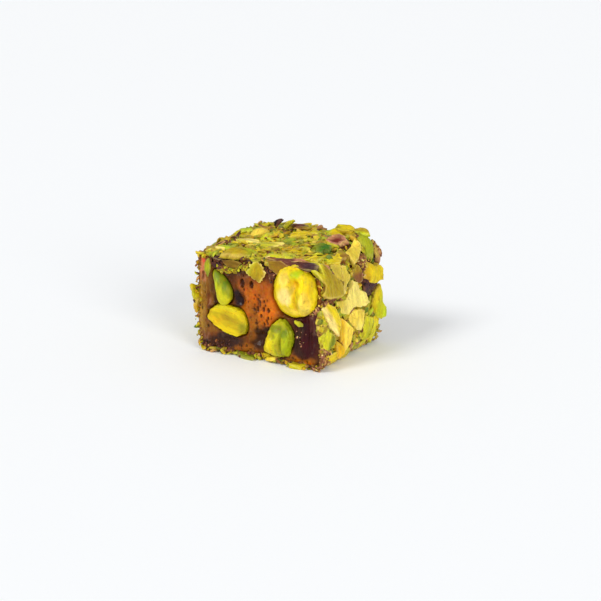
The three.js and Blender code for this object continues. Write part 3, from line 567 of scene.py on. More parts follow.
# The large pieces, which stand for solids of their own. onTop and the like say where round the roll,
# y where along it; own corners are along the roll's axis and up. skinTurn points to the skin's side.
largeNuts = {
    "sliver_olive_top": nut(
        "sliver", (9.8, 4.0, 2.8), onTop(-7.2), -13.5, 1.05, "olive green", skinTurn=-0.3, greenness=0.4,
        facet=0.3, ragged=0.5, relief=0.3,
    ),
    "flake_lime_top": nut(
        "slice", (7.0, 4.4, 1.5), onTop(1.2), -11.0, 1.5, "lime green", tip=0.1, ragged=0.5,
    ),
    "flake_lime_middle_top": nut(
        "slice", (8.4, 5.2, 1.6), onTop(-4.6), -2.6, 1.3, "lime primrose", tip=0.12, ragged=0.6,
    ),
    "sliver_lime_top": nut("sliver", (8.6, 3.2, 2.0), onTop(-0.8), 7.8, 0.5, "yellow olive", tip=0.05),
    "flake_yellow_top": nut(
        "slice", (7.8, 4.6, 1.5), onTop(-12.2), -1.4, 1.0, "primrose lime", tip=-0.1, ragged=0.5,
    ),
    "sliver_yellow_left_top": nut(
        "sliver", (8.0, 3.8, 2.4), onTop(-13.4), 6.6, 0.3, "pale yellow", tip=0.08,
    ),
    "half_purple_top": nut(
        "sliver", (7.4, 4.0, 2.2), onTop(9.9), 7.8, 1.75, "rose tan", lift=0.2, tip=0.05, heel=0.55,
        cup=-0.05, facet=0.2, ragged=0.7, dish=1.3, heart=0.95, paleRim=1.6, relief=0.35,
    ),
    "chunk_green_top": nut(
        "chunk", (5.0, 4.6, 2.3), onTop(10.2), -1.2, 1.3, "leaf deep", lift=0.2, tip=0.1, heel=0.4,
        greenness=0.65, paleRim=0.6, ragged=0.8, facet=1.3, relief=0.45,
    ),
    "sliver_yellow_top": nut("sliver", (6.6, 3.2, 2.4), onTop(5.8), 13.6, 1.45, "yellow bright", tip=-0.1),
    "sliver_green_corner": nut(
        "bent", (8.4, 3.8, 2.2), onTop(15.4), 12.7, 2.05, "green leaf", bend=1 / 5, taper=0.4, cup=0.12,
        twist=0.0, facet=0.2, wedge=0.0, ragged=0.2, skinTurn=1.6, paleRim=0.4,
    ),
    "sliver_lime_corner": nut(
        "sliver", (6.6, 2.4, 1.8), onTop(15.5), -1.9, -0.15, "yellow olive", paleRim=1.6, tip=0.08,
        facet=0.4,
    ),
    "flake_yellow_corner": nut(
        [(2.9, 1.9), (0.8, 1.2), (-0.8, 0.6), (-3.4, 0.2), (-3.6, -1.0), (-4.6, -4.0), (-1.3, -2.8),
        (1.3, -1.6), (3.6, 0.2)], 1.5, onTop(15.6), 5.2, 0.0, "straw pale", fibreTurn=1.2, lift=0.4,
        tip=0.3, facet=0.3, paleRim=1.4,
    ),
    "flake_green_right": nut(
        [(-5.0, 4.0), (-2.5, 5.2), (-0.3, 4.4), (1.4, 2.0), (5.6, -2.9), (5.4, -5.1), (2.1, -5.2),
        (-2.4, -4.1), (-3.3, -3.0), (-1.8, -1.1), (-2.4, 2.1)], 1.5, onRight(23.0), -11.2, 0.0,
        "olive lime", tip=0.14, lift=-0.1, skinTurn=2.7, greenness=0.3, ragged=0.25, fibreTurn=1.8,
        **unbroken,
    ),
    "shaving_olive_right": nut(
        [(-1.6, 2.7), (2.0, 2.2), (1.9, 0.2), (0.7, -2.0), (-0.6, -0.9), (-1.8, 0.5)], 1.3, onRight(23.4),
        -6.2, 0.0, "straw olive", tip=0.16, lift=-0.2, fibreTurn=1.7, **unbroken,
    ),
    "shaving_pale_right": nut(
        [(-1.3, 3.3), (-1.4, -0.6), (-1.0, -3.8), (-0.2, -4.0), (1.1, -1.1), (1.7, 0.9), (0.2, 3.6)], 1.4,
        onRight(21.4), -2.9, 0.0, "straw primrose", tip=0.12, lift=-0.1, skinTurn=-1.6, fibreTurn=1.6,
        paleRim=1.6, **unbroken,
    ),
    "shaving_brown_right": nut(
        [(-0.3, 2.8), (1.6, 1.0), (1.9, -2.0), (0.3, -2.4), (-1.8, -0.8), (-1.9, 1.6)], 1.4, onRight(21.0),
        3.5, 0.0, "brown olive", tip=0.2, lift=-0.1, greenness=0.45, fibreTurn=1.6, **unbroken,
    ),
    "chunk_yellow_right": nut(
        [(-2.4, 3.5), (0.6, 2.1), (2.7, 1.7), (3.5, 0.2), (3.2, -2.2), (0.6, -2.9), (-2.0, -2.0),
        (-3.4, -0.9), (-3.9, 0.9), (-2.8, 2.4)], 1.9, onRight(19.3), 12.0, 0.0, "butter gold", tip=0.25,
        ragged=0.6, fibreTurn=1.65, relief=0.35, greenness=0.45, lift=-0.2, **unbroken,
    ),
    "flake_pale_right": nut(
        [(0.4, 5.1), (2.5, 4.0), (3.6, 1.9), (6.2, 1.0), (7.6, -2.2), (6.0, -2.9), (0.8, -1.8),
        (-1.1, -3.4), (-3.9, -2.8), (-7.0, 1.1), (-2.6, 0.9), (-1.2, 2.0)], 1.4, onRight(15.4), -0.3, 0.0,
        "primrose straw", tip=0.14, lift=0.0, ragged=0.6, greenness=0.3, fibreTurn=1.9, skinTurn=3.1,
        **unbroken,
    ),
    "sliver_pale_right": nut(
        [(-3.7, 5.0), (-3.4, 3.2), (-2.4, 1.2), (-0.9, -1.5), (1.4, -3.8), (3.2, -4.9), (3.8, -1.4),
        (2.5, 1.4), (1.2, 3.6), (-0.8, 4.7)], 1.9, onRight(12.5), -10.4, 0.0, "cream butter", tip=0.14,
        lift=-0.1, skinTurn=0.55, skinSharp=3.0, greenness=0.45, ragged=0.2, fibreTurn=2.2, **unbroken,
    ),
    "flake_pale_low_right": nut(
        [(-3.6, 1.7), (-3.4, 0.2), (-1.4, -1.5), (0.4, -3.2), (1.8, -3.6), (3.2, -1.3), (3.8, 1.4),
        (3.4, 1.8), (-0.8, 2.6)], 1.5, onRight(9.9), 2.3, 0.0, "pale primrose", tip=0.14, lift=-0.1,
        greenness=0.35, ragged=0.4, fibreTurn=1.7, **unbroken,
    ),
    "sliver_gold_right": nut(
        [(-2.8, 4.9), (-2.6, -1.4), (-1.3, -3.4), (-0.2, -4.7), (1.6, -3.2), (2.2, -1.6), (2.3, 0.9),
        (-0.8, 3.7)], 1.7, onRight(7.5), -3.3, 0.0, "pale gold", tip=0.14, lift=-0.1, skinTurn=3.1,
        skinSharp=2.0, ragged=0.2, fibreTurn=1.8, **unbroken,
    ),
    "bit_gold_right": nut(
        [(-1.6, 1.2), (-1.7, -1.2), (0.1, -2.5), (1.4, -1.5), (1.2, 0.6), (-0.7, 2.6)], 1.7, onRight(4.0),
        -6.9, 0.0, "gold yellow", tip=0.15, ragged=0.12, cup=0.25, facet=0.2, lift=0.1, fibreTurn=1.7,
    ),
    "chunk_green_low_right": nut(
        [(0.1, 3.1), (-2.1, 0.8), (-2.3, -0.5), (-1.8, -2.2), (-0.6, -3.1), (1.1, -2.4), (2.3, -1.8),
        (2.3, 0.1)], 1.7, onRight(8.2), -12.3, 0.0, "lime leaf", tip=0.15, skinTurn=-0.4, skinSharp=1.6,
        greenness=0.5, fibreTurn=1.6,
    ),
    "chunk_green_right": nut(
        [(-0.6, 3.4), (-1.9, 0.2), (-3.9, -1.5), (-2.4, -2.9), (3.8, -3.4), (3.2, -1.1), (3.9, 0.9),
        (2.8, 2.0)], 1.9, onRight(5.9), 8.7, 0.0, "lime green", tip=0.15, ragged=0.5, fibreTurn=1.6,
        relief=0.25, facet=0.4,
    ),
    "sliver_edge_right": nut(
        [(0.6, 5.4), (-1.1, 3.4), (-2.2, 1.0), (-2.2, -1.2), (-0.6, -3.7), (1.2, -4.5), (2.7, -3.9),
        (2.8, -1.4), (1.6, 0.0), (1.2, 3.0)], 2.0, onRight(11.2), 14.6, 0.0, "yellow bright", tip=0.5,
        skinTurn=-0.3, greenness=0.55, ragged=0.2, lift=0.4, fibreTurn=1.4, **unbroken,
    ),
    "flake_pale_left": nut(
        "slice", (12.0, 7.0, 1.0), onLeft(13.0), -3.0, 1.2, "pale yellow", tip=0.03, ragged=0.5,
    ),
    "sliver_green_left": nut("sliver", (12.0, 4.4, 1.2), onLeft(18.0), 8.0, 0.9, "bright leaf", tip=-0.03),
    "sliver_pale_left": nut("sliver", (10.6, 4.0, 1.1), onLeft(6.0), 7.5, 0.3, "cream yellow"),
    "chunk_lime_left": nut("chunk", (6.6, 5.2, 1.2), onLeft(19.0), -10.0, 0.6, "lime green"),
}


# The frame's origin: what the first large flake's solid shows, against its own corners here.
def findOrigin(name):
    large = largeNuts[name]
    prism = np.array([(*corner, level) for corner in large["corners"] for level in (0, large["thick"])])
    placed = laidOnCoat(prism[None], asNuts([large], 0))[0]
    return np.array(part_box(name)[0]) / mm - placed.min(0)


origin = findOrigin("flake_pale_right")
print("origin of the solids, mm:", np.round(origin, 3))


def makeLargeNuts(around=150):
    for number, (name, large) in enumerate(largeNuts.items()):
        nuts = asNuts([large], firstNumber["large"] + number, ragged=0.5, relief=0.2, bend=0.02)
        shell = nutShells(nuts, flakeProfile, around)
        placed = laidOnCoat(shell["points"], nuts)
        placed[..., 2] = np.maximum(placed[..., 2], 0)
        faces = shellFaces(1, len(flakeProfile), around)
        paint = nutPaint(nuts, shell)
        material = skinMaterial if large["flesh"] == "rose" else fleshMaterial
        grain, crease = shell["grain"], crisp["flake"]
        makePiece("nut_" + name, placed, faces, material, paint, [name], grain, crease)


makeLargeNuts()


# How far spots of the coat lie from a large piece's middle, as a share of its outline's radius there.
# A piece's own across runs against the way round.
def shareOver(large, distance, y):
    wayRound = wayRoundFrom(large["distance"], distance)
    x, against = rotated(y - large["y"], wayRound, -large["bearing"])
    outline = roundOutline(cornersOf(large)[None], 240)[0]
    return np.hypot(x, against) / radiusAt(outline, np.arctan2(-against, x))


def clearOfLarge(nuts, least):
    near = np.min([shareOver(large, nuts["distance"], nuts["y"]) for large in largeNuts.values()], axis=0)
    nuts = {**nuts, "lift": between((-0.1, nuts["lift"]), smoothStep(1.0, 1.7, near))}  # tucked under them
    return chosen(nuts, near > least)


# How near to a large piece's middle others may come, as shares of its outline's radius there.
nearest = {"chip": 0.86, "skin": 0.95, "crumb": 0.97, "patch": 0.9}

# Spots of the coat that no loose flake covers: round the roll, along it, half round, half along.
bareSpots = [
    (onRight(17.6), -13.2, 1.6, 2.2), (onRight(16.2), 10.0, 3.0, 4.6), (onRight(20.6), 6.6, 3.2, 2.0),
    (onRight(3.8), -14.2, 4.2, 2.8), (onRight(24.0), 15.2, 3.6, 1.4), (onLeft(14.0), -14.6, 12.0, 3.0),
    (onUnderside(0.0), -15.9, 19.0, 1.0), (onRight(21.0), -15.6, 6.0, 1.6), (onTop(-5.4), -15.6, 4.0, 1.4),
    (onRight(3.8), -6.8, 3.0, 2.2), (onTop(9.8), -2.4, 3.4, 3.0), (onTop(10.8), 7.0, 2.6, 3.6),
    (onTop(16.4), 4.6, 3.4, 3.4), (onTop(1.2), -11.0, 3.0, 1.8), (onTop(-4.6), -2.6, 3.4, 2.0),
    (onTop(17.6), 11.6, 3.6, 2.6),
]


def clearOfBare(nuts):
    kept = np.ones(len(nuts["number"]), bool)
    for distance, y, halfRound, halfAlong in bareSpots:
        wayRound = wayRoundFrom(distance, nuts["distance"])
        kept &= np.maximum(np.abs(wayRound) / halfRound, np.abs(nuts["y"] - y) / halfAlong) > 1
    return chosen(nuts, kept)


scatter = {
    "count": 128, "lengths": (11.5, 5.5),  # the longest first
    "slivers": 0.62, "sliversAndSlices": 0.84,  # shares of all, the rest are chunks
    "overhang": 0.4,  # how near a piece's middle may come to the knife's plane
    "pastCorner": 1.2,  # how far a piece may reach past the middle of a corner
    "steepest": 0.16, "spared": 0.37, "thinnedLeft": 0.5,
    "yellowish": 0.85,  # the green of a flesh, as a share of its red, below which it is yellow
}
stepRound, stepAlong = 0.7548776662466927, 0.5698402909980532  # steps that spread any number evenly


# Share of its thickness that a piece has: less on the left side, where the roll picked up less.
def thinness(distance, y):
    return 1 - scatter["thinnedLeft"] * np.maximum(0, -coatSurface(distance, y)[1][..., 0])


def evenSpots(count, startRound, startAlong, margin):
    order = np.arange(count)
    distance = np.mod(startRound + order * stepRound, 1) * outlineLength
    return distance, (np.mod(startAlong + order * stepAlong, 1) - 0.5) * 2 * (halfDepth - margin)


# The solids' own scatter, by the same rule: the longest first, the kinds by draw.
def scatteredNuts():
    i = np.arange(scatter["count"])
    distance, y = evenSpots(len(i), startRound=0.5, startAlong=0.5, margin=scatter["overhang"])
    kind, size = draw(i, 1), draw(i, 5)
    long = between(scatter["lengths"], i / scatter["count"]) * (0.85 + 0.3 * draw(i, 2))
    reach = (coatSurface(distance, y)[3] + scatter["pastCorner"]) / (long / 2)
    bearing = (draw(i, 3) - 0.5) * 2 * np.arcsin(np.minimum(1, reach))
    thin = thinness(distance, y)
    kinds = [kind < scatter["slivers"], kind < scatter["sliversAndSlices"]]
    long = long * np.select(kinds, [1, 0.8], 0.5)
    wide = np.select(kinds, [2.2 + 1.2 * size, 4.2 + 1.6 * size], 3.0 + size)
    shape = scatteredCuts[np.select(kinds, [0, 1], 2)]
    nuts = {
        "number": i, "distance": distance, "y": y, "bearing": bearing,
        "tip": (draw(i, 4) - 0.5) * 2 * scatter["steepest"] * thin, "lift": -roll["sunk"] * thin,
        "thick": np.select(kinds, [1.3 + 0.7 * size, 1.0 + 0.4 * size], 1.7 + 0.6 * size) * thin,
        "corners": shape * np.stack([long, wide], -1)[:, None] / 2,
    }
    kept = np.ones(len(i), bool)
    for large in largeNuts.values():
        reach = large["long"] if "long" in large else 2 * np.hypot(*np.array(large["corners"]).T).max()
        wayRound = wayRoundFrom(large["distance"], distance)
        kept &= np.hypot(wayRound, y - large["y"]) >= scatter["spared"] * reach
    return withHabits(chosen(nuts, kept), ragged=0.6, relief=0.2, bend=0.03)


# Two fleshes of one nut: what the knife opened, and what lay under the skin.
coatMixture = {
    "yellow lime": 5, "lime green": 4, "yellow olive": 5, "lime olive": 3.5, "pale yellow": 2.2,
    "bright leaf": 3, "green leaf": 2.5, "gold olive": 2.5, "olive brown": 2.2, "leaf deep": 1.2,
    "yellow sand": 1.5,
}


# Pieces that the front edges hold: one pressed flat underneath, two out of the left side, one torn.
def edgeNuts():
    return asNuts([
        nut("slice", (13.0, 9.0, 2.1), onUnderside(0), 0.0, 0.4, "olive leaf"),
        nut(
            [(3.9, 0.3), (0.9, 2.2), (-1.6, 1.6), (-2.0, -1.4), (0.4, -2.3)], 1.5, onLeft(15.2), -13.6,
            1.85, "yellow bright", tip=0.85,
        ),
        nut("chunk", (4.4, 3.0, 1.3), onLeft(12.2), -14.2, 1.8, "gold sand", tip=-0.2),
        nut(
            [(-0.8, 3.2), (-1.7, 1.2), (-1.8, -1.6), (-0.8, -4.0), (1.2, -2.6), (1.6, -1.0), (0.7, 1.6)],
            1.2, onRight(13.1), -13.6, 0.0, "straw green", tip=0.2, fibreTurn=1.6, relief=0.3,
            greenness=0.5,
        ),
        nut(
            [(-2.6, 0.6), (-1.0, -1.3), (1.8, -1.0), (2.8, 0.3), (0.6, 1.5)], 0.9, onRight(1.8), -8.8, 0.3,
            "straw pale", lift=0.3,
        ),
        nut(
            [(-2.0, 0.9), (-1.4, -1.0), (0.8, -1.5), (2.2, -0.2), (0.8, 1.2)], 1.0, onRight(2.2), -4.4,
            -0.4, "straw olive", lift=0.3,
        ),
        nut(
            [(-2.6, 0.8), (-1.8, -0.9), (0.8, -1.1), (2.8, -0.3), (1.4, 1.1)], 0.8, onTop(-15.0), -12.6,
            1.4, "primrose bright", lift=0.9,
        ),
    ], firstNumber["edge"], ragged=0.4)


def makeCoat(name, nuts, profile, around, material, crease):
    shell = nutShells(nuts, profile, around)
    faces = shellFaces(len(nuts["number"]), len(profile), around)
    placed = trimmed(laidOnCoat(shell["points"], nuts))
    makePiece(name, placed, faces, material, nutPaint(nuts, shell), (), shell["grain"], crease)


def makeScattered(around=64):
    loose = clearOfBare(scatteredNuts())
    loose.update(fromMixture(coatMixture, loose["number"]))
    nuts = joined(edgeNuts(), loose)
    yellowish = nuts["flesh"][:, 1] / nuts["flesh"][:, 0] < scatter["yellowish"]
    kinds = {"slivers_yellow": (yellowish, "nut_yellow"), "slivers_green": (~yellowish, "nut_lime")}
    for name, (which, slot) in kinds.items():
        makeCoat(name, chosen(nuts, which), flakeProfile, around, fleshMaterial, crisp["flake"])


makeScattered()

# Torn flakes and shreds between, under and over the large ones, as many as cover the roll.
chipSizes = {"count": 1900, "long": (1.6, 5.2), "wide": (0.8, 2.3), "thick": (0.35, 0.9), "steep": 0.5}


# Outlines of chips: those of the cuts, each corner moved in or out by draw.
def chipCorners(i, long, wide):
    shape = scatteredCuts[(3 * draw(i, 1)).astype(int)]
    moved = between((0.65, 1.2), draw(i[:, None] + 0.31 * np.arange(mostCorners), 9))
    repeated = np.all(shape == shape[:, -1:], -1)  # these stay one corner
    moved = np.where(repeated, moved[:, -1:], moved)
    return shape * moved[..., None] * np.stack([long, wide], -1)[:, None] / 2


# What loose pieces share: any bearing, tilted both ways by draw, with a chip's outline.
def looseNuts(i, distance, y, long, wide, steep, thin=1):
    return {
        "number": i, "distance": distance, "y": y, "bearing": draw(i, 2) * 2 * np.pi,
        "tip": (draw(i, 3) - 0.5) * 2 * steep * thin, "heel": (draw(i, 4) - 0.5) * 2 * steep * thin,
        "corners": chipCorners(i, long, wide),
    }


def makeChips(around=13):
    i = firstNumber["chips"] + np.arange(chipSizes["count"])
    distance, y = evenSpots(len(i), startRound=0.21, startAlong=0.37, margin=0.2)
    thin = thinness(distance, y)
    long, wide = between(chipSizes["long"], draw(i, 5) ** 1.6), between(chipSizes["wide"], draw(i, 6))
    nuts = looseNuts(i, distance, y, long, wide, chipSizes["steep"], thin)
    nuts["thick"] = between(chipSizes["thick"], draw(i, 7)) * thin
    nuts["lift"] = (-0.25 + draw(i, 8)) * thin
    nuts = withHabits(nuts, ragged=0.55, relief=0.12, facet=0.6, bend=0.08)
    nuts = clearOfBare(clearOfLarge(nuts, nearest["chip"]))
    # painted shade: the lower a chip lies (the same draw as its lift), the darker it is
    nuts["shadeDarkening"] = 0.4 * (1 - draw(nuts["number"], 8))
    nuts.update(fromMixture({**coatMixture, "tan brown": 1.2, "rose skin": 0.6}, nuts["number"]))
    makeCoat("chips", nuts, chipProfile, around, fleshMaterial, crisp["chip"])


makeChips()

# Flakes of the nut's skin: thin, curled and ragged. The placed ones show at known spots.
skinSizes = {
    "count": 70, "long": (2.0, 4.6), "wide": (1.0, 2.4), "thick": 0.25, "curl": (0.1, 0.5), "steep": 0.45,
}
placedSkins = [
    # a long curl over the front edge of the top, and its pink start, partly the skin's rose and partly
    # painted highlight
    nut(
        [(-6.8, 0.3), (-4.4, -1.0), (-2.6, -0.8), (-1.0, -1.8), (1.2, -1.2), (4.0, -2.1), (6.9, -0.9),
        (5.6, 0.9), (3.0, 0.5), (1.2, 1.3), (-0.8, 0.6), (-3.4, 1.1)], 0.6, onTop(10.6), -15.3, 1.5,
        "skin plum", lift=1.4, heel=0.75, cup=0.2, bend=0.03, skinTurn=0.4, greenness=0.45, ragged=1.3,
        relief=0.9, paleRim=1.2,
    ),
    nut("sliver", (5.0, 1.0, 0.5), onTop(5.0), -15.4, 1.45, "rose brown", lift=1.5, heel=0.5, ragged=0.9),
    nut(
        "sliver", (6.6, 0.8, 0.5), onTop(11.2), -15.2, 1.56, "rose skin", lift=2.0, heel=0.7, ragged=1.2,
        relief=0.4,
    ),
    nut("slice", (4.0, 2.6, 0.4), onTop(16.4), -11.6, 0.3, "skin rose", lift=0.9, heel=0.5, tip=0.3),
    # purple skin in the hollow at the top's left front corner
    nut("slice", (4.8, 3.2, 0.5), onTop(-12.6), -14.4, 1.2, "plum skin", lift=0.1, heel=0.6, cup=0.3),
    # dark scraps that stand up: at the back left, and at the left edge
    nut(
        [(-1.1, 0.7), (-1.2, -0.6), (-0.3, -1.0), (1.0, -0.7), (1.3, 0.3), (0.4, 1.0)], 1.1, onTop(-9.4),
        9.7, 1.3, "black plum", tip=0.8, lift=2.3, paleRim=0.1, ragged=0.9, relief=0.6, facet=1.0,
    ),
    nut("sliver", (4.4, 0.8, 0.4), onTop(-16.0), -1.0, 0.2, "skin plum", tip=0.8, lift=1.0, paleRim=0.2),
    nut("sliver", (3.8, 0.9, 0.5), onTop(-16.6), -7.4, 0.6, "plum skin", tip=0.25, lift=1.0, paleRim=0.2),
    # purple skin in a gap of the right side
    nut(
        [(-3.6, 1.4), (-3.6, -0.6), (-1.6, -1.9), (0.8, -2.3), (2.8, -2.2), (4.2, -0.8), (3.4, 1.2),
        (0.8, 2.6), (-1.6, 2.4)], 0.7, onRight(16.4), 9.9, 0.0, "plum skin", lift=0.5, cup=0.1,
        greenness=0.3, paleRim=0.2, ragged=0.7, relief=0.35,
    ),
    # pink and yellow scraps over the start of the bent green sliver
    nut("slice", (2.6, 1.4, 0.4), onTop(12.6), 12.8, 1.9, "brown skin", lift=1.0, heel=0.5, ragged=0.9),
    nut(
        [(-2.6, 1.2), (-2.8, -0.8), (-0.4, -1.5), (2.4, -1.2), (3.0, 0.4), (1.2, 1.4)], 1.5, onTop(8.4),
        14.9, 1.5, "yellow lime", lift=1.0, heel=0.4, cup=-0.1,
    ),
    # a yellow shred beside that sliver, and tan skin behind it
    nut(
        "sliver", (6.4, 1.6, 1.1), onTop(18.6), 15.0, 1.8, "sand rose", lift=0.1, bend=0.12, ragged=0.8,
        relief=0.4,
    ),
    nut("sliver", (3.6, 1.2, 0.5), onTop(18.8), 15.6, 1.6, "tan skin", lift=0.9, heel=0.3, ragged=0.9),
    # a lime chunk that stands up by the dark one, and a green one where the top's back rim drops
    nut(
        [(-1.5, 0.8), (-1.6, -0.7), (0.2, -1.3), (1.7, -0.5), (1.2, 1.0)], 1.3, onTop(-6.2), 10.4, 1.5,
        "lime green", tip=0.8, lift=2.1, ragged=0.6, facet=0.9,
    ),
    nut(
        "sliver", (5.6, 2.6, 1.4), onTop(13.4), 15.0, 1.9, "olive bright", lift=0.9, heel=0.4, ragged=0.5,
        facet=0.7,
    ),
    # brownish skin on the top towards the back
    nut(
        "slice", (3.8, 2.2, 0.5), onTop(-4.6), 12.2, 1.4, "skin plum", lift=1.3, heel=0.5, cup=0.3,
        ragged=1.0, relief=0.5,
    ),
    nut(
        "sliver", (4.6, 1.6, 0.5), onTop(-2.4), 10.4, 1.2, "brown olive", lift=1.3, heel=0.3, ragged=0.8,
        relief=0.5,
    ),
]
skinMixture = {"skin plum": 4, "rose skin": 3, "brown skin": 3, "tan brown": 2}


def makeSkins(around=16):
    i = firstNumber["skins"] + np.arange(skinSizes["count"])
    distance, y = evenSpots(len(i), startRound=0.63, startAlong=0.11, margin=0.3)
    long, wide = between(skinSizes["long"], draw(i, 5)), between(skinSizes["wide"], draw(i, 6))
    nuts = looseNuts(i, distance, y, long, wide, skinSizes["steep"])
    nuts["thick"], nuts["cup"] = skinSizes["thick"] + 0 * i, between(skinSizes["curl"], draw(i, 8))
    nuts["lift"] = 0.1 + 0.8 * draw(i, 7) * thinness(distance, y)
    nuts = clearOfBare(clearOfLarge(withHabits(nuts, ragged=0.5, facet=0.0, bend=0.08), nearest["skin"]))
    nuts.update(fromMixture(skinMixture, nuts["number"]))
    placed = asNuts(placedSkins, firstNumber["placedSkins"], ragged=0.4, facet=0.0, bend=0.06)
    nuts = joined(placed, nuts)
    makeCoat("skin_flakes", nuts, flakeProfile, around, skinMaterial, crisp["skin"])


makeSkins()

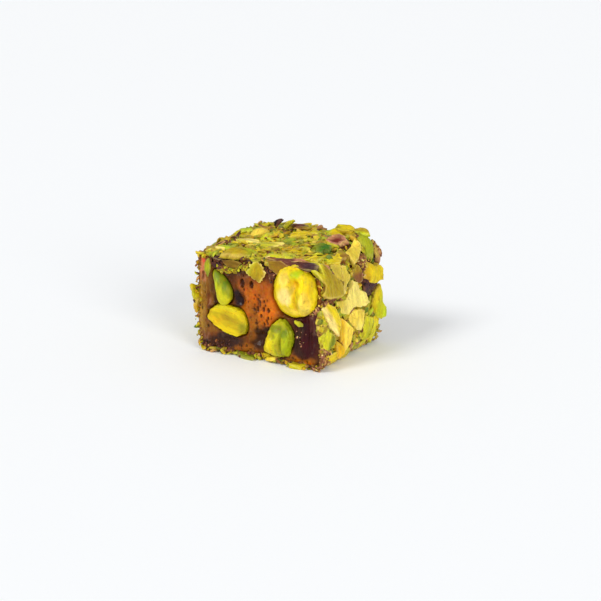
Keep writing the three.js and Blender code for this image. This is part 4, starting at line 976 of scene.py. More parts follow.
# Kernels in the cut faces. An outline is seen from outside, across and up from the kernel's middle, and
# leans with nothing; without one it is an ellipse, tapered and leaned. marks are dents and colours:
# across, up, half across, half up, depth, colour, strength.
kernels = {
    "kernel_whole_front": dict(
        face=-1, x=10.8, z=20.5, out=-0.8, lean=0.08, nod=0.08, long=14.4, wide=12.2, thick=8.2,
        outline=[(-1.6, 7.0), (-4.5, 5.9), (-6.2, 2.4), (-6.7, -2.2), (-4.6, -6.0), (-1.6, -7.2),
        (1.7, -6.8), (5.2, -4.4), (6.2, -0.6), (5.0, 3.8), (2.2, 6.2)], groove=0.1, grooveAt=0.25,
        ribs=0.26, ragged=0.12, flesh="butter", skin="yellow", skinWay=(0.35, 0.85, 0.3), skinFrom=1.4,
        # its cream, pale and primrose marks on the lobes are partly painted highlight, its gold and ochre in
        # the deeper dents partly painted shade
        marks=[(1.0, 2.7, 1.7, 1.3, 1.3, "gold", 0.95), (-1.9, -0.4, 2.2, 2.8, -0.3, "cream", 0.95),
        (-2.6, 3.6, 1.8, 2.0, 0.0, "primrose", 0.7), (3.4, -2.6, 1.6, 3.0, 0.0, "primrose", 0.6),
        (0.6, 0.9, 1.3, 1.2, 0.5, "ochre", 0.5), (0.9, -1.6, 0.5, 3.6, 0.6, "gold", 0.8),
        (1.4, 5.2, 1.8, 1.2, -0.9, "bright", 0.95), (3.4, -1.8, 0.9, 3.0, -0.3, "pale", 0.8),
        (4.6, 0.6, 0.7, 3.4, 0.1, "gold", 0.5), (-5.2, 1.0, 0.8, 5.0, 0.0, "yellow", 0.7),
        (-1.0, -4.8, 2.6, 1.2, 0.2, "pale", 0.6), (2.4, -5.2, 0.8, 1.4, -0.2, "pale", 0.6),
        (-2.2, 4.2, 1.6, 1.4, 0.3, "gold", 0.4)],
    ),
    "kernel_sliced_front": dict(
        face=-1, x=-9.8, z=9.8, out=-0.4, lean=1.36, long=13.0, wide=7.4, thick=7.2, outline=[(-6.6, 0.5),
        (-5.2, 2.7), (-2.2, 3.9), (1.4, 3.7), (4.3, 3.0), (5.8, 1.4), (6.3, -1.0), (5.3, -3.2), (2.4, -4.0),
        (-1.2, -3.4), (-4.2, -2.0), (-5.9, -0.8)], slicedAt=0.5, ragged=0.32, flesh="yellow", skin="leaf",
        skinWay=(0.2, 0.5, -0.9), skinFrom=0.2, marks=[(-3.4, -0.6, 2.8, 2.0, 0.0, "gold", 0.5),
        (2.4, -0.6, 3.4, 2.2, 0.12, "olive", 0.6), (-0.6, 1.2, 2.2, 1.6, 0.1, "ochre", 0.4),
        (-0.5, 3.2, 5.0, 0.7, 0.0, "lime", 0.6), (5.0, -1.6, 1.6, 1.6, 0.0, "leaf", 0.6)],
    ),
    "kernel_green_front": dict(
        face=-1, x=-11.7, z=18.6, out=-0.3, lean=0.46, nod=-0.1, long=10.6, wide=4.8, thick=4.4,
        outline=[(-3.2, 4.4), (-2.3, 2.1), (-1.7, -0.2), (-0.9, -2.4), (-0.6, -4.7), (0.2, -5.2),
        (1.6, -4.8), (2.5, -4.1), (3.1, -2.6), (3.1, -1.0), (2.5, 0.5), (1.3, 1.9), (-0.3, 3.3),
        (-1.8, 4.3)], groove=0.05, ragged=0.1, flesh="lime", skin="leaf", skinWay=(0.75, 0.6, 0.1),
        skinFrom=0.12, marks=[(-0.9, 2.6, 0.9, 2.0, 0.1, "deep", 0.45),
        (0.7, -2.2, 1.2, 2.8, -0.1, "lime", 0.9), (1.6, 0.6, 0.6, 2.4, 0.0, "deep", 0.5),
        (-0.6, -0.6, 0.5, 2.6, -0.1, "bright", 0.8)],
    ),
    "kernel_broken_front": dict(
        face=-1, x=5.7, z=6.9, out=-0.4, lean=-0.3, nod=0.1, long=13.2, wide=8.2, thick=6.6,
        outline=[(1.5, 5.9), (-0.2, 5.2), (-1.5, 3.9), (-2.9, 1.6), (-3.7, -0.6), (-4.7, -3.6),
        (-2.4, -4.5), (0.3, -4.9), (2.7, -4.3), (3.6, -2.2), (4.0, -0.4), (4.0, 2.0), (3.3, 3.9)],
        ragged=0.34, flesh="lime", skin="green", skinWay=(0.85, 0.3, 0.2), skinFrom=0.25,
        marks=[(-1.8, -1.2, 1.8, 3.0, -0.5, "butter", 0.75), (0.4, 3.6, 2.4, 0.9, 0.4, "leaf", 0.9),
        (1.5, 0.2, 0.4, 4.0, 0.8, "leaf", 0.6), (2.9, -1.0, 0.9, 3.0, -0.3, "bright", 0.5),
        (-0.6, 1.6, 1.0, 0.8, 0.5, "leaf", 0.5), (0.2, -2.8, 0.5, 1.4, 0.3, "green", 0.6),
        (2.3, 2.6, 0.9, 1.1, 0.3, "deep", 0.6)],
    ),
    "kernel_whole_back": dict(
        face=1, x=5.5, z=17.6, out=-0.8, lean=0.5, nod=0.08, long=14.8, wide=9.2, thick=7.6, taper=-0.14,
        groove=0.14, ribs=0.16, flesh="yellow", skin="lime", skinWay=(0.2, 0.9, 0.3), skinFrom=0.7,
        marks=[(-1.4, -1.8, 1.8, 2.4, -0.1, "cream", 0.8), (2.0, 3.0, 1.6, 1.6, 0.4, "gold", 0.7)],
    ),
    "kernel_sliced_back": dict(
        face=1, x=-10.2, z=9.4, out=-0.4, lean=-0.35, long=13.0, wide=8.0, thick=7.0, taper=-0.1,
        slicedAt=0.5, flesh="yellow", skin="leaf", skinWay=(0.2, 0.5, -0.9), skinFrom=0.2,
        marks=[(0.8, 2.6, 2.2, 2.8, 0.0, "gold", 0.6), (-0.8, -3.0, 2.2, 2.2, 0.1, "olive", 0.5)],
    ),
    "kernel_green_back": dict(
        face=1, x=-8.4, z=20.6, out=-0.4, lean=-1.2, nod=-0.1, long=10.6, wide=5.0, thick=4.6, taper=-0.3,
        groove=0.05, flesh="bright", skin="leaf", skinWay=(0.6, 0.75, 0.1), skinFrom=0.05,
        marks=[(2.4, 1.2, 2.6, 0.9, 0.1, "deep", 0.5)],
    ),
    "kernel_broken_back": dict(
        face=1, x=8.4, z=6.4, out=-0.4, lean=1.3, nod=0.1, long=13.2, wide=7.6, thick=6.4,
        outline=[(5.6, -1.5), (4.6, 1.4), (1.6, 3.4), (-2.2, 3.9), (-4.4, 3.4), (-5.2, 1.2), (-4.6, -0.8),
        (-5.3, -2.6), (-2.4, -3.6), (1.4, -3.8), (4.4, -3.2)], ragged=0.3, flesh="lime", skin="green",
        skinWay=(-0.2, 0.9, 0.2), skinFrom=0.2, marks=[(-2.6, -0.6, 1.6, 2.2, -0.3, "yellow", 0.7),
        (2.4, 0.6, 2.4, 1.4, 0.1, "leaf", 0.6)],
    ),
}


def unit(way):
    return np.array(way, float) / np.linalg.norm(way)


# A kernel's outline as radii at angles round its middle: its own corners, or the ellipse
# (wide / 2 cos t (1 + taper sin t), long / 2 sin t) turned by lean; smoothed over near angles.
def kernelRadius(kernel, angle):
    count, reach = 720, 60  # points round it, and how many to each side are smoothed over
    turn = np.linspace(0, 2 * np.pi, count, endpoint=False)
    if "outline" in kernel:
        outline = roundOutline(np.array(kernel["outline"])[None], count)[0]
        smoothing = 18
    else:
        across = kernel["wide"] / 2 * np.cos(turn) * (1 + kernel["taper"] * np.sin(turn))
        along, lean = kernel["long"] / 2 * np.sin(turn), kernel["lean"]
        outline = np.stack(rotated(across, along, lean), -1)
        smoothing = 4
    radius = radiusAt(outline, turn)
    window = np.exp(-((np.arange(-reach, reach + 1) / smoothing) ** 2))
    wrapped = np.concatenate([radius[-reach:], radius, radius[:reach]])
    radius = np.convolve(wrapped, window / window.sum(), "valid")
    return np.interp(angle, turn, radius, period=2 * np.pi)


# A kernel as rings of its outline: share of the outline s = sin(p)^0.9 and height thick / 2 cos(p),
# p from the top to the bottom; less its groove exp(-((u - grooveAt) / 0.17)^2), ribs beside it, dents
# and marks; then cut flat where the knife sliced it.
def kernelShell(kernel, rings, around):
    polar = np.linspace(0, np.pi, rings + 2)[1:-1, None]
    turn = np.arange(around) * 2 * np.pi / around
    radius = kernelRadius(kernel, turn) * np.sin(polar) ** 0.9
    flat = np.stack([radius * np.cos(turn), radius * np.sin(turn)], -1).reshape(-1, 2)
    flat = np.concatenate([[[0, 0]], flat, [[0, 0]]])
    height = np.concatenate([[1], np.repeat(np.cos(polar), around), [-1]])
    edge = np.sqrt(1 - height**2)
    halfWide, halfLong, halfThick = kernel["wide"] / 2, kernel["long"] / 2, kernel["thick"] / 2
    across, along = rotated(flat[:, 0], flat[:, 1], -kernel["lean"])
    u, v = across / halfWide, along / halfLong
    inner = 1 - edge**3
    z = halfThick * height
    place = np.stack([u * halfWide, v * halfLong * 0.4, z], -1) + 31 * kernel["x"]
    wander = 0.06 * grainNoise(place, 3.0, 12)
    seam = kernel.get("groove", 0.0) * np.exp(-(((u + wander - kernel.get("grooveAt", 0.0)) / 0.17) ** 2))
    z = z - np.sign(height) * seam * halfThick * inner
    ripple = u * halfWide / 1.5 + 0.5 * grainNoise(place, 2.0, 13)
    ribs = kernel.get("ribs", 0.0) * np.sin(2 * np.pi * ripple)
    bumps = ribs * smoothStep(0.15, 0.4, u)
    bumps = bumps + 0.2 * roughNoise(place, 3.0, 2, 14) + 0.09 * roughNoise(place, 0.9, 2, 15)
    outer = smoothStep(-0.2, 0.2, height)
    for across, up, halfAcross, halfUp, depth, _, _ in kernel["marks"]:
        far = ((flat[:, 0] - across) / halfAcross) ** 2 + ((flat[:, 1] - up) / halfUp) ** 2
        bumps = bumps - depth * np.exp(-far)
    z = z + bumps * outer * (1 - edge**6)
    short = place * [1, 2.5, 1]
    ragged = kernel.get("ragged", 0.04) * (grainNoise(short, 1.3, 16) + 0.8 * grainNoise(short, 0.5, 17))
    away = np.maximum(np.hypot(flat[:, 0], flat[:, 1]), 1e-6)
    flat = flat * (1 + (0.12 * grainNoise(place, 2.2, 18) + ragged) * edge**2 / away)[:, None]
    sliced = 0 * z
    if "slicedAt" in kernel:
        knife = kernel["slicedAt"] - kernel["out"]
        knife = knife + 0.05 * grainNoise(place, 1.6, 19) - 0.1 * np.exp(-(u**2 + v**2) * 3)
        sliced = smoothStep(-0.1, 0.2, z - knife)
        z = np.minimum(z, knife)
    sphere = np.stack([u, v, height], -1)
    return np.stack([flat[:, 0], flat[:, 1], z], -1), sphere, sliced, place


# Nods a kernel about its width and sets it in its face, across to the right as seen from outside.
def laidOnCut(points, spot):
    x, y, z = np.moveaxis(points, -1, 0)
    y, z = rotated(y, z, spot.get("nod", 0.0))
    face = spot["face"]
    level = halfDepth - roll["cutRelief"] + spot["out"]
    return np.stack([spot["x"] - face * x, face * (level + z), spot["z"] + y], -1)


# From flesh to the skin's side by the way out of the kernel, then its marks, streaks and specks.
def kernelPaint(kernel, points, sphere, sliced, place):
    flesh, skin = nutColours[kernel["flesh"]], nutColours[kernel["skin"]]
    streaks = roughNoise(place, 1.6, 3, 44)
    toSkin = smoothStep(-0.25, 0.45, sphere @ unit(kernel["skinWay"]) - kernel["skinFrom"] + 0.35 * streaks)
    paint = blend(flesh, skin, toSkin * (1 - 0.85 * sliced))
    paint = blend(paint, nutColours["olive"], 0.5 * smoothStep(0.25, 0.8, roughNoise(place, 2.2, 3, 48)))
    # marks paint the kernels' own tones, and on the whole front kernel also painted highlight and painted
    # shade
    for across, up, halfAcross, halfUp, _, colour, strength in kernel["marks"]:
        stir = 0.4 * roughNoise(place, 1.6, 2, 45)
        far = np.hypot((points[:, 0] - across) / halfAcross, (points[:, 1] - up) / halfUp) + stir
        paint = blend(paint, nutColours[colour], strength * smoothStep(1.25, 0.45, far) * (sphere[:, 2] > 0))
    specks = smoothStep(0.6, 0.9, roughNoise(place * [1, 2, 1], 0.4, 2, 46)) * 0.5
    paint = blend(paint, nutColours["brown"], specks)
    jellyEdgeShade = smoothStep(0.35, -0.1, sphere[:, 2])  # painted shade where the kernel sinks into the jelly
    paint = blend(paint, paint * 0.7, jellyEdgeShade)
    return paint * (1 + 0.1 * streaks + 0.09 * grainNoise(place, 0.45, 47))[:, None]


def makeKernels(rings=64, around=112):
    for name, kernel in kernels.items():
        points, sphere, sliced, place = kernelShell(kernel, rings, around)
        paint = kernelPaint(kernel, points, sphere, sliced, place)
        faces = shellFaces(1, rings, around)
        placed = laidOnCut(points, kernel)
        slot, crease = slots[name], crisp["kernel"]
        makePiece("nut_" + name, placed, faces, kernelMaterial, paint, [name], place, crease)


makeKernels()

# Flakes that stuck to the front cut face when the knife passed: a leaf with a toothed rim, a green
# strip under the top left, a bit beside the whole kernel, and golden flesh above its left shoulder.
cutFlakes = [
    dict(
        corners=[(0.1, 2.8), (-1.6, 1.6), (-3.2, -0.3), (-2.6, -1.3), (-1.2, -2.2), (0.5, -2.8),
        (1.5, -1.6), (2.5, 0.1), (2.2, 1.4), (1.0, 2.3)], thick=0.9, x=-0.6, z=24.1, out=0.1, flesh="olive",
        skinSide="lime", paleRim=2.2, ragged=0.75, cup=0.05, skinTurn=2.4, wedge=0.1, fibreTurn=1.5,
    ),
    dict(
        corners=[(0.4, 2.5), (-0.6, 1.2), (-0.8, -0.8), (0.2, -2.5), (0.8, -1.4), (1.0, 0.8)], thick=1.0,
        x=-15.8, z=23.3, out=0.0, flesh="green", skinSide="leaf", ragged=0.25, fibreTurn=1.6,
    ),
    dict(
        corners=[(-1.2, 0.7), (-1.1, 0.1), (0.2, -0.7), (1.2, -0.5), (1.1, 0.1), (0.1, 0.5)], thick=0.9,
        x=11.8, z=12.2, out=0.0, flesh="lime", skinSide="green", ragged=0.2,
    ),
    dict(
        corners=[(-3.0, 1.0), (-2.4, -1.0), (0.0, -2.2), (2.0, -1.6), (3.4, 0.4), (1.2, 1.6)], thick=1.2,
        x=5.6, z=26.6, out=-0.2, flesh="ochre", skinSide="brown", greenness=0.3, ragged=0.3, facet=0.6,
    ),
    dict(
        # darkened as painted shade, in the hollow under the top's front edge
        corners=[(-3.2, 0.8), (-1.2, -1.0), (1.6, -0.9), (3.0, 0.5), (0.4, 1.2)], thick=0.8, x=-8.6, z=25.0,
        out=-0.4, flesh="ochre", skinSide="brown", ragged=0.4, greenness=0.2, shadeDarkening=0.35,
    ),
]


def makeCutFlakes(around=110):
    nuts = asNuts(cutFlakes, firstNumber["onCut"], ragged=0.35, relief=0.12, facet=0.4, bend=0.0)
    shell = nutShells(nuts, flakeProfile, around)
    rows = zip(shell["points"], cutFlakes)
    placed = np.stack([laidOnCut(points, {**row, "face": -1}) for points, row in rows])
    faces = shellFaces(len(cutFlakes), len(flakeProfile), around)
    paint, grain, crease = nutPaint(nuts, shell), shell["grain"], crisp["flake"]
    makePiece("flakes_on_cut", placed, faces, fleshMaterial, paint, (), grain, crease)


makeCutFlakes()

# Hollows of the cut faces, as in the solids: x, z, half across, half up, depth; below zero stands proud.
hollows = {
    -1: [
        (-6.4, 15.4, 2.0, 2.4, 1.5), (-0.6, 6.0, 4.6, 2.0, 1.5), (14.2, 8.0, 2.2, 6.0, 1.0),
        (0.0, 17.5, 4.2, 6.5, -0.7), (-16.0, 13.0, 1.8, 12.0, -0.5),
    ],
    1: [
        (-8.5, 18.5, 3.0, 3.0, 1.2), (2.5, 7.0, 4.0, 2.2, 1.4), (7.5, 19.0, 4.0, 6.0, -0.6),
        (-3.0, 13.0, 1.6, 9.0, 0.8),
    ],
}
# Smaller dents that only the dressed faces have, the same way.
dents = {
    -1: [
        (-11.6, 24.8, 3.0, 1.3, 1.6), (2.6, 25.8, 1.4, 1.2, 0.8), (-10.5, 3.8, 4.4, 1.2, 0.9),
        (10.6, 7.6, 1.0, 3.0, 0.7), (16.9, 23.0, 0.9, 5.0, 0.5), (-13.6, 14.6, 0.8, 3.0, 0.5),
    ],
    1: [(13.6, 23.4, 2.4, 1.2, 1.2), (-14.6, 20.0, 1.4, 3.0, 0.7)],
}


# Sum of soft spots: x, z, half across, half up and how much of each. A high power flattens them.
def softSpots(x, z, spots, power):
    return sum(
        much * np.exp(-(((x - sx) / across) ** power) - ((z - sz) / up) ** power)
        for sx, sz, across, up, much in spots
    )


# Depth of a cut face behind the knife: relief + slow waves + hollows + the rounded rim at ring = 1.
def cutDepth(face, x, z, ring):
    hollow = softSpots(x, z, hollows[face] + dents[face], 2)
    waves = 0.18 * np.sin(0.55 * x + 0.9) + 0.14 * np.sin(0.5 * z - 0.35 * x)
    return roll["cutRelief"] + waves + (1 - ring**6) * hollow + roll["edgeRound"] * ring**10


# How far a point of a cut face is from a kernel's outline, in millimetres, below zero inside it.
def fromKernel(kernel, x, z):
    across, up = -kernel["face"] * (x - kernel["x"]), z - kernel["z"]
    return np.hypot(across, up) - kernelRadius(kernel, np.arctan2(up, across))


# Bubbles that the knife opened, where the jelly foamed: x, z, half across, half up, how many.
bubbleFields = {
    -1: [
        (0.4, 13.0, 3.4, 5.0, 110), (-2.2, 17.0, 3.4, 4.4, 34), (-2.6, 22.6, 4.4, 1.4, 10),
        (-4.8, 2.6, 3.2, 1.0, 22), (11.5, 2.0, 3.2, 1.0, 14), (-17.0, 12.0, 1.6, 8.0, 20),
    ],
    1: [
        (7.5, 10.0, 5.0, 5.0, 100), (-2.5, 20.0, 3.0, 3.0, 30), (14.0, 20.0, 1.8, 4.0, 24),
        (-4.0, 4.0, 4.0, 1.4, 20),
    ],
}
openedBubbles = [(-5.3, 20.3, 0.85), (-2.3, 20.4, 0.7), (1.2, 14.2, 0.5), (2.7, 14.2, 0.5), (0.1, 16.1, 0.45)]
bubbleSize = (0.15, 0.42)


def bubbles(face):
    draws = np.random.default_rng(11 + face)
    rows = []
    for x, z, across, up, count in bubbleFields[face]:
        turn = draws.uniform(0, 2 * np.pi, count)
        reach = np.sqrt(draws.uniform(0, 1, count))
        size = between(bubbleSize, draws.uniform(0, 1, count) ** 2.2)
        rows.append(np.stack([x + across * reach * np.cos(turn), z + up * reach * np.sin(turn), size], -1))
    return np.concatenate([*rows, openedBubbles] if face < 0 else rows)


# Pits of the opened bubbles: each a dent that is a half sphere, drawn out upwards by half again.
def bubbleDepth(face, x, z):
    depth = np.zeros_like(x)
    for bx, bz, size in bubbles(face):
        near = (np.abs(x - bx) < 2 * size) & (np.abs(z - bz) < 3 * size)
        away = np.hypot((x[near] - bx) / size, (z[near] - bz) / (1.5 * size))
        depth[near] = np.maximum(depth[near], 1.2 * size * np.sqrt(np.clip(1 - away**2, 0, 1)))
    return depth


# Colour fields of the cut faces: x, z, half across, half up, softness of the edge, colour. Later ones
# lie over. The jelly is amber where light gets through, brown and plum where it is thick.
jellyColours = shades({
    "ground": "#5e320a", "sleeve": "#45250e", "amber": "#8c5f1a", "straw": "#9a7022", "orange": "#bc6008",
    "rust": "#6c3614", "bark": "#422208", "honey": "#8c500c", "plum": "#380a0e", "mauve": "#4e2420",
    "walnut": "#6c3812", "dark": "#3e200a", "night": "#341c14", "slate": "#28171a", "red": "#dd4e36",
    "salmon": "#c87848", "hole": "#170b0a", "pitShade": "#220a04", "starchGlint": "#cba586",
})
# The slate, dark, night and hole fields are painted shade, in the dents and hollows, low down and under the
# top's edge.
colourFields = {
    -1: [
        (-17.4, 12.0, 3.6, 12.5, 1.4, "amber"), (-18.6, 9.0, 1.4, 9.0, 0.8, "straw"),
        (-12.6, 16.0, 1.4, 7.0, 1.0, "bark"), (-3.0, 22.2, 8.0, 3.6, 1.2, "bark"),
        (-3.6, 20.0, 4.4, 2.4, 0.9, "walnut"), (2.6, 20.6, 2.8, 4.0, 1.0, "rust"),
        (-16.6, 3.6, 3.4, 2.6, 1.0, "walnut"), (-15.4, 12.6, 0.9, 5.0, 0.8, "walnut"),
        (-0.4, 14.6, 5.8, 6.2, 0.9, "orange"), (-2.0, 9.6, 2.8, 5.0, 0.9, "honey"),
        (2.8, 15.0, 2.4, 3.4, 1.0, "orange"), (-6.9, 15.6, 1.6, 2.6, 0.7, "slate"),
        (0.8, 6.6, 2.8, 3.2, 0.8, "dark"), (-0.2, 4.6, 2.6, 1.6, 0.7, "dark"),
        (-10.6, 3.9, 5.2, 1.5, 0.6, "night"), (-14.6, 2.3, 3.6, 1.6, 0.7, "dark"),
        (-5.0, 2.3, 3.9, 1.6, 0.6, "honey"), (13.8, 9.2, 4.6, 7.6, 0.8, "plum"),
        (15.6, 14.2, 1.8, 3.0, 0.8, "mauve"), (11.2, 8.0, 1.4, 4.6, 0.7, "night"),
        (11.4, 1.5, 5.2, 1.6, 0.6, "honey"), (13.0, 1.2, 2.6, 1.0, 0.6, "orange"),
        (17.3, 22.6, 1.2, 5.4, 0.6, "honey"), (-11.6, 24.9, 3.8, 1.5, 0.5, "hole"),
        (2.8, 26.0, 2.8, 1.9, 0.6, "hole"), (-18.0, 23.0, 2.0, 3.8, 0.8, "salmon"),
        (-17.9, 25.6, 0.7, 1.0, 0.9, "red"), (-18.2, 20.6, 0.9, 1.4, 0.6, "rust"),
    ],
    1: [
        (7.5, 10.0, 6.6, 6.0, 1.0, "orange"), (14.5, 17.0, 3.6, 9.0, 1.0, "amber"),
        (-2.5, 20.0, 4.4, 4.0, 0.9, "rust"), (-3.0, 13.0, 2.2, 9.0, 0.8, "plum"),
        (-15.0, 17.0, 3.0, 8.0, 0.9, "honey"), (2.5, 7.0, 4.0, 2.4, 0.7, "dark"),
        (-9.0, 3.0, 6.0, 1.6, 0.6, "night"), (0.4, 26.0, 6.0, 1.6, 0.6, "hole"),
        (-16.0, 5.0, 2.6, 3.0, 0.8, "plum"),
    ],
}
# Where the jelly is pulled into ribs and wrinkles: x, z, half across, half up, how strong.
ribFields = {
    -1: [(-16.6, 13.0, 3.4, 11.0, 1.0), (13.6, 8.6, 4.2, 7.0, 0.8), (-2.0, 21.6, 6.0, 2.6, 0.5)],
    1: [(14.5, 15.0, 3.4, 9.0, 1.0), (-15.0, 14.0, 2.6, 9.0, 0.7)],
}
jellyGrid = {"across": 216, "up": 164, "deep": 20}


# The outline distance that a point on the rim of the unit square stands for, corner to corner.
def squareDistance(u, w):
    upright = np.abs(w) < np.abs(u)
    turns = np.where(upright, np.where(u > 0, 1, 3), np.where(w > 0, 0, 2))
    along = np.choose(turns, [u, -w, -u, w])
    before = np.roll(cornerMiddle, 1)
    before[0] -= outlineLength
    return before[turns] + (cornerMiddle[turns] - before[turns]) * (along + 1) / 2


# A cut face over the unit square: ring = max(|u|, |w|) shrinks the outline, then y is set back by
# cutDepth + gaps and lips round the kernels + bubbles + ribs and wrinkles of the pulled jelly.
def cutFace(face, u, w):
    ring = np.maximum(np.abs(u), np.abs(w))
    safe = np.maximum(ring, 1e-9)
    sx, sz, *_ = outlineAt(squareDistance(u / safe, w / safe))
    reach = ring * (1 + swell(squareDistance(u / safe, w / safe), face * halfDepth) / np.hypot(sx, sz))
    x, z = roll["middleAcross"] + sx * reach, heightOf(sz * reach, face * halfDepth)
    flat = np.stack([x, z, 0 * x], -1)
    away = np.min([fromKernel(k, x, z) for k in kernels.values() if k["face"] == face], axis=0)
    gap = 0.5 * np.exp(-((away / 0.4) ** 2)) + 1.3 * smoothStep(0.1, -0.8, away)
    lip = -0.3 * np.exp(-(((away - 0.9) / 0.45) ** 2)) * (0.6 + 0.6 * grainNoise(flat, 2.6, 7))
    pits = bubbleDepth(face, x, z) * (away > 0.25)
    pulled = softSpots(x, z, ribFields[face], 4)
    drift = 1.6 * grainNoise(flat * [1, 0.35, 1], 3.0, 4)
    creased = 1 - 2 * np.abs(grainNoise(flat * [1, 0.3, 1], 0.9, 5))
    ribs = 0.16 * np.sin(2 * np.pi * x / 1.15 + drift) + 0.12 * creased
    wrinkles = 0.16 * roughNoise(flat * [1, 0.7, 1], 2.6, 3, 2 + face) + 0.05 * grainNoise(flat, 0.5, 8)
    depth = cutDepth(face, x, z, ring) + (1 - ring**8) * (gap + lip + pits + pulled * ribs + wrinkles)
    points = np.stack([x, face * (halfDepth - depth), z], -1)
    return points, facePaint(face, points, away, pits, pulled, ring)


# Colours of a cut face: its fields, stirred by noise, with streaks, painted shade in the pits and round
# the kernels, and pale starch with painted highlight along the crests of the ribs.
def facePaint(face, points, away, pits, pulled, ring):
    x, z = points[..., 0], points[..., 2]
    flat = np.stack([x, z, 0 * x], -1)
    stir = np.stack([roughNoise(flat, 3.0, 3, 21), roughNoise(flat, 3.0, 3, 22)], -1) * 0.9
    paint = np.broadcast_to(jellyColours["ground"], points.shape).copy()
    for fx, fz, across, up, soft, colour in colourFields[face]:
        far = np.hypot((x + stir[..., 0] - fx) / across, (z + stir[..., 1] - fz) / up)
        paint = blend(paint, jellyColours[colour], smoothStep(1 + soft / 2, 1 - soft / 2, far))
    streak = grainNoise(flat * [1, 0.22, 1], 0.8, 31)
    paint = paint * (1 + 0.18 * streak + 0.14 * roughNoise(flat, 1.4, 2, 33))[..., None]
    # painted shade in the bubble pits, the deeper ones darker
    paint = blend(paint, jellyColours["pitShade"], smoothStep(0.1, 0.45, pits) * 0.8)
    # pale along the rib crests: partly starch, partly painted highlight
    crest = smoothStep(0.72, 0.92, 1 - np.abs(grainNoise(flat * [1, 0.45, 1], 0.8, 35)))
    starchAndGlint = crest * smoothStep(0.1, 0.6, grainNoise(flat, 1.7, 36)) * (0.25 + 0.75 * np.clip(pulled, 0, 1))
    paint = blend(paint, jellyColours["starchGlint"], 0.18 * starchAndGlint)
    # painted shade in a band round each kernel
    paint = blend(paint, paint * 0.4, np.exp(-((away / 0.6) ** 2)) * 0.7)
    # the hem takes the sleeve's colour, but not where the edges are bare
    hem = smoothStep(0.93, 1.0, ring) * smoothStep(-15.8, -14.2, x * -face)
    hem = hem * (1 - smoothStep(13, 15, x * -face) * smoothStep(16, 18, z))
    return blend(paint, jellyColours["sleeve"], hem)


# The sleeve between the faces' rims, row by row: the coated surface, wrinkled by noise.
def sleeve(rimPoints, rimDistance, rows):
    share = np.linspace(0, 1, rows + 2)[1:-1, None]
    y = rimPoints[-1][None, :, 1] * (1 - share) + rimPoints[1][None, :, 1] * share
    point, out, _, _ = coatSurface(np.broadcast_to(rimDistance, y.shape), y)
    return point + out * (0.14 * roughNoise(point, 1.8, 3, 17))[..., None]


def makeJelly():
    steps = [np.linspace(-1, 1, jellyGrid[word] + 1) for word in ("across", "up")]
    u, w = np.meshgrid(*steps, indexing="ij")
    index = np.arange(u.size).reshape(u.shape)
    rim = np.concatenate([index[:-1, 0], index[-1, :-1], index[:0:-1, -1], index[0, :0:-1]])
    quads = np.stack([index[:-1, :-1], index[1:, :-1], index[1:, 1:], index[:-1, 1:]], -1).reshape(-1, 4)
    front, frontPaint = (part.reshape(-1, 3) for part in cutFace(-1, u, w))
    back, backPaint = (part.reshape(-1, 3) for part in cutFace(1, u, w))
    deep = jellyGrid["deep"]
    middle = sleeve({-1: front[rim], 1: back[rim]}, squareDistance(u.ravel()[rim], w.ravel()[rim]), deep)
    middlePaint = jellyColours["sleeve"] * (1 + 0.25 * roughNoise(middle, 2.0, 2, 41))[..., None]
    inside = 2 * u.size + np.arange(deep * len(rim)).reshape(deep, len(rim))
    bands = np.concatenate([[rim], inside, [u.size + rim]])
    after = np.roll(bands, -1, 1)
    side = np.stack([bands[:-1], bands[1:], after[1:], after[:-1]], -1).reshape(-1, 4)
    points = np.concatenate([front, back, middle.reshape(-1, 3)])
    paint = np.concatenate([frontPaint, backPaint, middlePaint.reshape(-1, 3)])
    points[:, 2] = np.maximum(points[:, 2], 0)
    faces = [quads, u.size + quads[:, ::-1], side]
    makePiece("jelly", points, faces, jellyMaterial, paint, ["jelly_with_nut_coating"])


makeJelly()

# Crumbs, a few dozen to the square centimetre: between the flakes, and in patches where many stuck.
# A patch is a spot of the coat, its half size round and along, how many, and a mixture.
crumbSizes = {
    "onCoat": 3600, "size": (0.35, 1.3),
    "reach": 15.7, "heaped": 0.25,  # of the patches: how far along the roll, and how much higher
    "widest": 1.6, "offKernels": 0.15,  # of the lines: straying at most, and how far off the kernels
}
crumbProfile, crumbAround = [(0.85, 0.85), (1, 0.3)], 7
greenCrumbs = {
    "yellow lime": 4, "lime green": 3, "pale yellow": 3, "green leaf": 2, "gold olive": 2, "tan sand": 2,
}
gapCrumbs = {
    "olive brown": 4, "brown skin": 4, "leaf deep": 2, "gold olive": 3, "lime green": 2, "skin plum": 2,
}
brownCrumbs = {
    "tan brown": 4, "brown skin": 3, "rose skin": 3, "sand brown": 3, "plum skin": 1, "cream tan": 1,
}
plumCrumbs = {"plum skin": 3, "skin plum": 2, "plum black": 2}
crumbPatches = [
    (onRight(3.0), -13.6, 3.0, 2.8, 170, {**brownCrumbs, "cream tan": 3, "rose skin": 4}),
    (onRight(22.6), 15.2, 3.2, 0.9, 60, brownCrumbs),
    (onRight(16.4), 10.0, 2.2, 3.8, 150, plumCrumbs),
    (onRight(22.4), 6.8, 2.8, 1.9, 110, brownCrumbs),
    (onRight(17.4), -11.2, 0.7, 3.6, 60, brownCrumbs),
    (onRight(7.6), 6.2, 3.2, 1.0, 50, brownCrumbs),
    (onTop(-15.6), -8.0, 1.8, 7.0, 90, {"leaf deep": 3, "brown skin": 3, "green leaf": 2}),
    (onTop(3.6), -14.4, 4.0, 1.2, 40, brownCrumbs),
    (onRight(1.4), 6.0, 1.4, 8.0, 60, brownCrumbs),
]


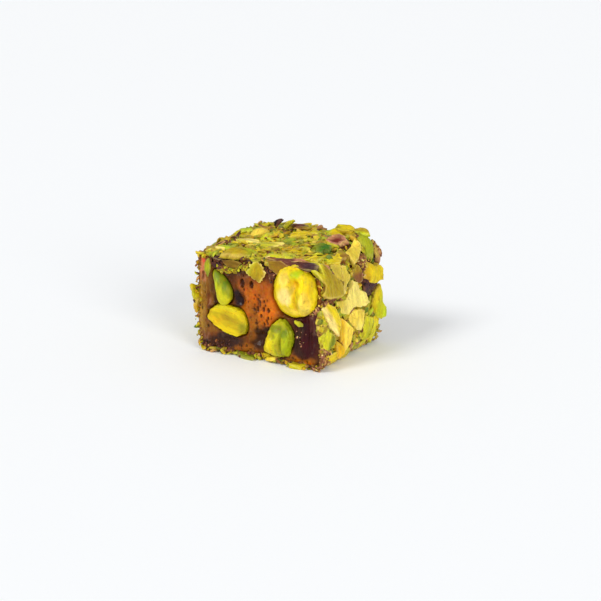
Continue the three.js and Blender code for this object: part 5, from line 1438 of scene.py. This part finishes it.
# Shells of crumbs as short tilted chunks.
def crumbNuts(i, distance, y, mixture):
    size = between(crumbSizes["size"], draw(i, 5) ** 2)
    long, wide = size * between((1.2, 2.4), draw(i, 11)), size * between((0.6, 1.1), draw(i, 12))
    nuts = looseNuts(i, distance, y, long, wide, 1)
    nuts["thick"] = size * between((0.3, 0.9), draw(i, 6))
    nuts["lift"] = (-0.1 + 0.7 * draw(i, 9) ** 2) * thinness(distance, y)
    nuts = withHabits(nuts, ragged=0.15, relief=0.03, facet=1.2, bend=0.0)
    return {**nuts, **fromMixture(mixture, i)}


def makeCoatCrumbs():
    half = crumbSizes["onCoat"] // 2
    kinds = {
        "crumbs_green": (firstNumber["greenCrumbs"], greenCrumbs, "nut_lime"),
        "crumbs_brown": (firstNumber["brownCrumbs"], gapCrumbs, "nut_skin"),
    }
    for name, (first, mixture, slot) in kinds.items():
        i = first + np.arange(half)
        spots = evenSpots(half, startRound=0.47 + first, startAlong=0.83, margin=0.3)
        nuts = clearOfLarge(crumbNuts(i, *spots, mixture), nearest["crumb"])
        makeCoat(name, nuts, crumbProfile, crumbAround, crumbMaterial, crisp["crumb"])
    groups = []
    for number, (distance, y, halfRound, halfAlong, count, mixture) in enumerate(crumbPatches):
        i = firstNumber["patchCrumbs"] + numbersEach["patch"] * number + np.arange(count)
        turn, reach = 2 * np.pi * draw(i, 71), np.sqrt(draw(i, 72))
        along = np.clip(y + halfAlong * reach * np.sin(turn), -crumbSizes["reach"], crumbSizes["reach"])
        nuts = crumbNuts(i, distance + halfRound * reach * np.cos(turn), along, mixture)
        groups.append(clearOfLarge(nuts, nearest["patch"]))
    nuts = joined(*groups)
    nuts["lift"] = nuts["lift"] + crumbSizes["heaped"]
    makeCoat("crumbs_in_patches", nuts, crumbProfile, crumbAround, crumbMaterial, crisp["crumb"])


makeCoatCrumbs()

# Crumbs that the knife dragged onto the cut faces: along lines, each a row of points, how far the
# crumbs stray from it, how many, how large, and a mixture.
ledgeCrumbs = {"lime olive": 2.5, "straw lime": 1.5, "green leaf": 2.5, "olive brown": 5, "brown skin": 1.5}
crumbLines = {
    -1: [
        ([(-12.4, 22.9), (-9.6, 23.2), (-6.8, 23.8), (-2.8, 25.6)], 0.45, 130, (0.35, 0.95), ledgeCrumbs),
        ([(-14.6, 24.6), (-12.0, 24.0), (-9.0, 25.2)], 0.8, 40, (0.4, 1.2),
         {"plum skin": 3, "skin brown": 3, "tan brown": 1}),
        ([(1.2, 26.0), (3.4, 24.6), (4.2, 22.6)], 0.6, 60, (0.35, 1.0),
         {"plum skin": 3, "skin brown": 3, "rose skin": 1}),
        ([(-19.0, 3.0), (-14.0, 2.2), (-9.0, 3.2)], 0.7, 50, (0.25, 0.6),
         {"skin plum": 3, "plum black": 3, "brown skin": 1}),
        ([(-18.4, 1.2), (-6.0, 0.9), (6.0, 0.8), (17.0, 0.8)], 0.5, 190, (0.3, 1.0),
         {"skin plum": 4, "brown skin": 3, "tan brown": 1, "olive brown": 2}),
        ([(-19.2, 2.0), (-19.5, 12.0), (-19.5, 22.0), (-19.0, 27.0)], 0.4, 80, (0.2, 0.8),
         {"brown skin": 3, "tan brown": 2, "olive brown": 2}),
        ([(17.2, 16.6), (15.8, 15.6), (14.8, 14.8)], 0.35, 26, (0.3, 0.8),
         {"rose skin": 2, "tan brown": 2, "cream tan": 1}),
        # cream and rose crumbs on the plum jelly right of the broken kernel: painted highlight, standing for
        # its glints
        ([(11.0, 10.4), (11.8, 8.4), (12.6, 7.0)], 1.2, 12, (0.2, 0.45), {"cream tan": 2, "rose skin": 3}),
        ([(-13.6, 27.2), (-4.0, 27.4), (6.0, 27.6), (16.0, 26.8)], 0.4, 80, (0.4, 1.0),
         {**ledgeCrumbs, "plum skin": 3}),
    ],
    1: [
        ([(-16.0, 28.6), (0.0, 28.8), (15.0, 28.6)], 0.5, 160, (0.4, 1.2), ledgeCrumbs),
        ([(-17.0, 1.2), (0.0, 1.0), (16.0, 1.2)], 0.5, 150, (0.3, 0.9), brownCrumbs),
        ([(-18.6, 4.0), (-18.8, 22.0)], 1.2, 60, (0.3, 1.1), greenCrumbs),
        ([(17.0, 4.0), (17.4, 22.0)], 1.2, 60, (0.3, 1.1), greenCrumbs),
    ],
}


# Each crumb sits on the point of the cut face that is nearest to its own, from a grid of them.
def makeFaceCrumbs(gridPoints=121):
    steps = np.linspace(-1, 1, gridPoints)
    u, w = np.meshgrid(steps, steps, indexing="ij")
    groups, middles, faces = [], [], []
    for face, lines in crumbLines.items():
        surface = cutFace(face, u, w)[0].reshape(-1, 3)
        for number, (line, stray, count, size, mixture) in enumerate(lines):
            first = firstNumber["cutCrumbs"] + numbersEach["cutFace"] * (face > 0)
            i = first + numbersEach["line"] * number + np.arange(count)
            line, gone = np.array(line), np.linspace(0, 1, len(line))
            strays = [stray * crumbSizes["widest"] * (draw(i, 74 + k) - 0.5) * 2 for k in (0, 1)]
            x, z = (np.interp(draw(i, 73), gone, line[:, k]) + strays[k] for k in (0, 1))
            seat = np.argmin((x[:, None] - surface[:, 0]) ** 2 + (z[:, None] - surface[:, 2]) ** 2, axis=1)
            nuts = crumbNuts(i, 0 * i, 0 * i, mixture)
            scale = (between(size, draw(i, 5)) / between(crumbSizes["size"], draw(i, 5) ** 2))[:, None, None]
            nuts["corners"], nuts["thick"] = nuts["corners"] * scale, nuts["thick"] * scale[:, 0, 0]
            groups.append(nuts)
            middles.append(surface[seat])
            faces.append(np.full(count, face))
    nuts, middle, face = joined(*groups), np.concatenate(middles), np.concatenate(faces)
    shell = nutShells(nuts, crumbProfile, crumbAround)
    x, y, z = np.moveaxis(shell["points"], -1, 0)
    x, z = rotated(x, z, nuts["tip"][:, None])
    x, y = rotated(x, y, nuts["bearing"][:, None])
    placed = np.stack([-face[:, None] * x, face[:, None] * z, y], -1) + middle[:, None]
    placed[..., 2] = np.maximum(placed[..., 2], 0)
    across, up = middle[:, 0], middle[:, 2]
    away = [np.where(face == k["face"], fromKernel(k, across, up), 9) for k in kernels.values()]
    kept = np.min(away, axis=0) > crumbSizes["offKernels"]
    faces = shellFaces(kept.sum(), len(crumbProfile), crumbAround)
    placed, paint, grain = placed[kept], nutPaint(nuts, shell)[kept], shell["grain"][kept]
    makePiece("crumbs_on_cuts", placed, faces, crumbMaterial, paint, (), grain, crisp["crumb"])


makeFaceCrumbs()


def makeFloor():
    size = 6.0
    mesh = bpy.data.meshes.new("floor")
    corners = [(size * x, size * y, 0) for x, y in ((-1, -1), (1, -1), (1, 1), (-1, 1))]
    mesh.from_pydata(corners, [], [(0, 1, 2, 3)])
    material = bpy.data.materials.new("whitePaperSweep")
    material.use_nodes = True
    surface = material.node_tree.nodes["Principled BSDF"]
    surface.inputs["Base Color"].default_value = (*shade("#fbfdff"), 1)
    surface.inputs["Roughness"].default_value = 0.7
    mesh.materials.append(material)
    floor = bpy.data.objects.new("floor", mesh)
    bpy.context.scene.collection.objects.link(floor)


# A large softbox far off: light of one strength from one way, spread over an angle in radians.
def addLight(name, place, spread, strength, target):
    light = bpy.data.lights.new(name, "SUN")
    light.angle = spread
    light.energy = strength
    lamp = bpy.data.objects.new(name, light)
    lamp.location = place
    lamp.rotation_mode = "QUATERNION"
    lamp.rotation_quaternion = (target - Vector(place)).to_track_quat("-Z", "Y")
    bpy.context.scene.collection.objects.link(lamp)


view = {
    "azimuth": 31.0, "elevation": 16.0, "distance": 400.0,  # degrees, and mm from the piece's middle
    "scale": 3.767,  # pixels for each mm there, in a picture 601 wide
    "middle": (290.5, 295.7), "side": 601,  # the pixel that the piece's middle falls on
}


def makeCamera():
    azimuth, elevation = np.radians([view["azimuth"], view["elevation"]])
    level = np.cos(elevation)
    back = np.array([np.sin(azimuth) * level, -np.cos(azimuth) * level, np.sin(elevation)])
    middle = (np.array([0, 0, roll["height"] / 2]) + origin) * mm
    camera = bpy.data.cameras.new("camera")
    camera.sensor_width = 36
    camera.lens = view["scale"] * view["distance"] * camera.sensor_width / view["side"]
    camera.shift_x = (view["side"] / 2 - view["middle"][0]) / view["side"]
    camera.shift_y = (view["middle"][1] - view["side"] / 2) / view["side"]
    camera.clip_start, camera.clip_end = 0.01, 20
    holder = bpy.data.objects.new("camera", camera)
    holder.location = middle + back * view["distance"] * mm
    holder.rotation_mode = "QUATERNION"
    holder.rotation_quaternion = Vector(-back).to_track_quat("-Z", "Y")
    bpy.context.scene.collection.objects.link(holder)
    bpy.context.scene.camera = holder


makeFloor()
makeCamera()
aim = Vector((0, 0, 0.014))  # the piece's middle
addLight("keySoftbox", (-0.35, -0.8, 0.75), spread=0.35, strength=1.4, target=aim)
addLight("fillSoftbox", (0.85, -0.5, 0.4), spread=0.5, strength=1.4, target=aim)
world = bpy.data.worlds.new("whiteStudio")
world.use_nodes = True
world.node_tree.nodes["Background"].inputs["Color"].default_value = (1, 1, 1, 1)
world.node_tree.nodes["Background"].inputs["Strength"].default_value = 0.56
bpy.context.scene.world = world
bpy.context.scene.view_settings.view_transform = "Standard"
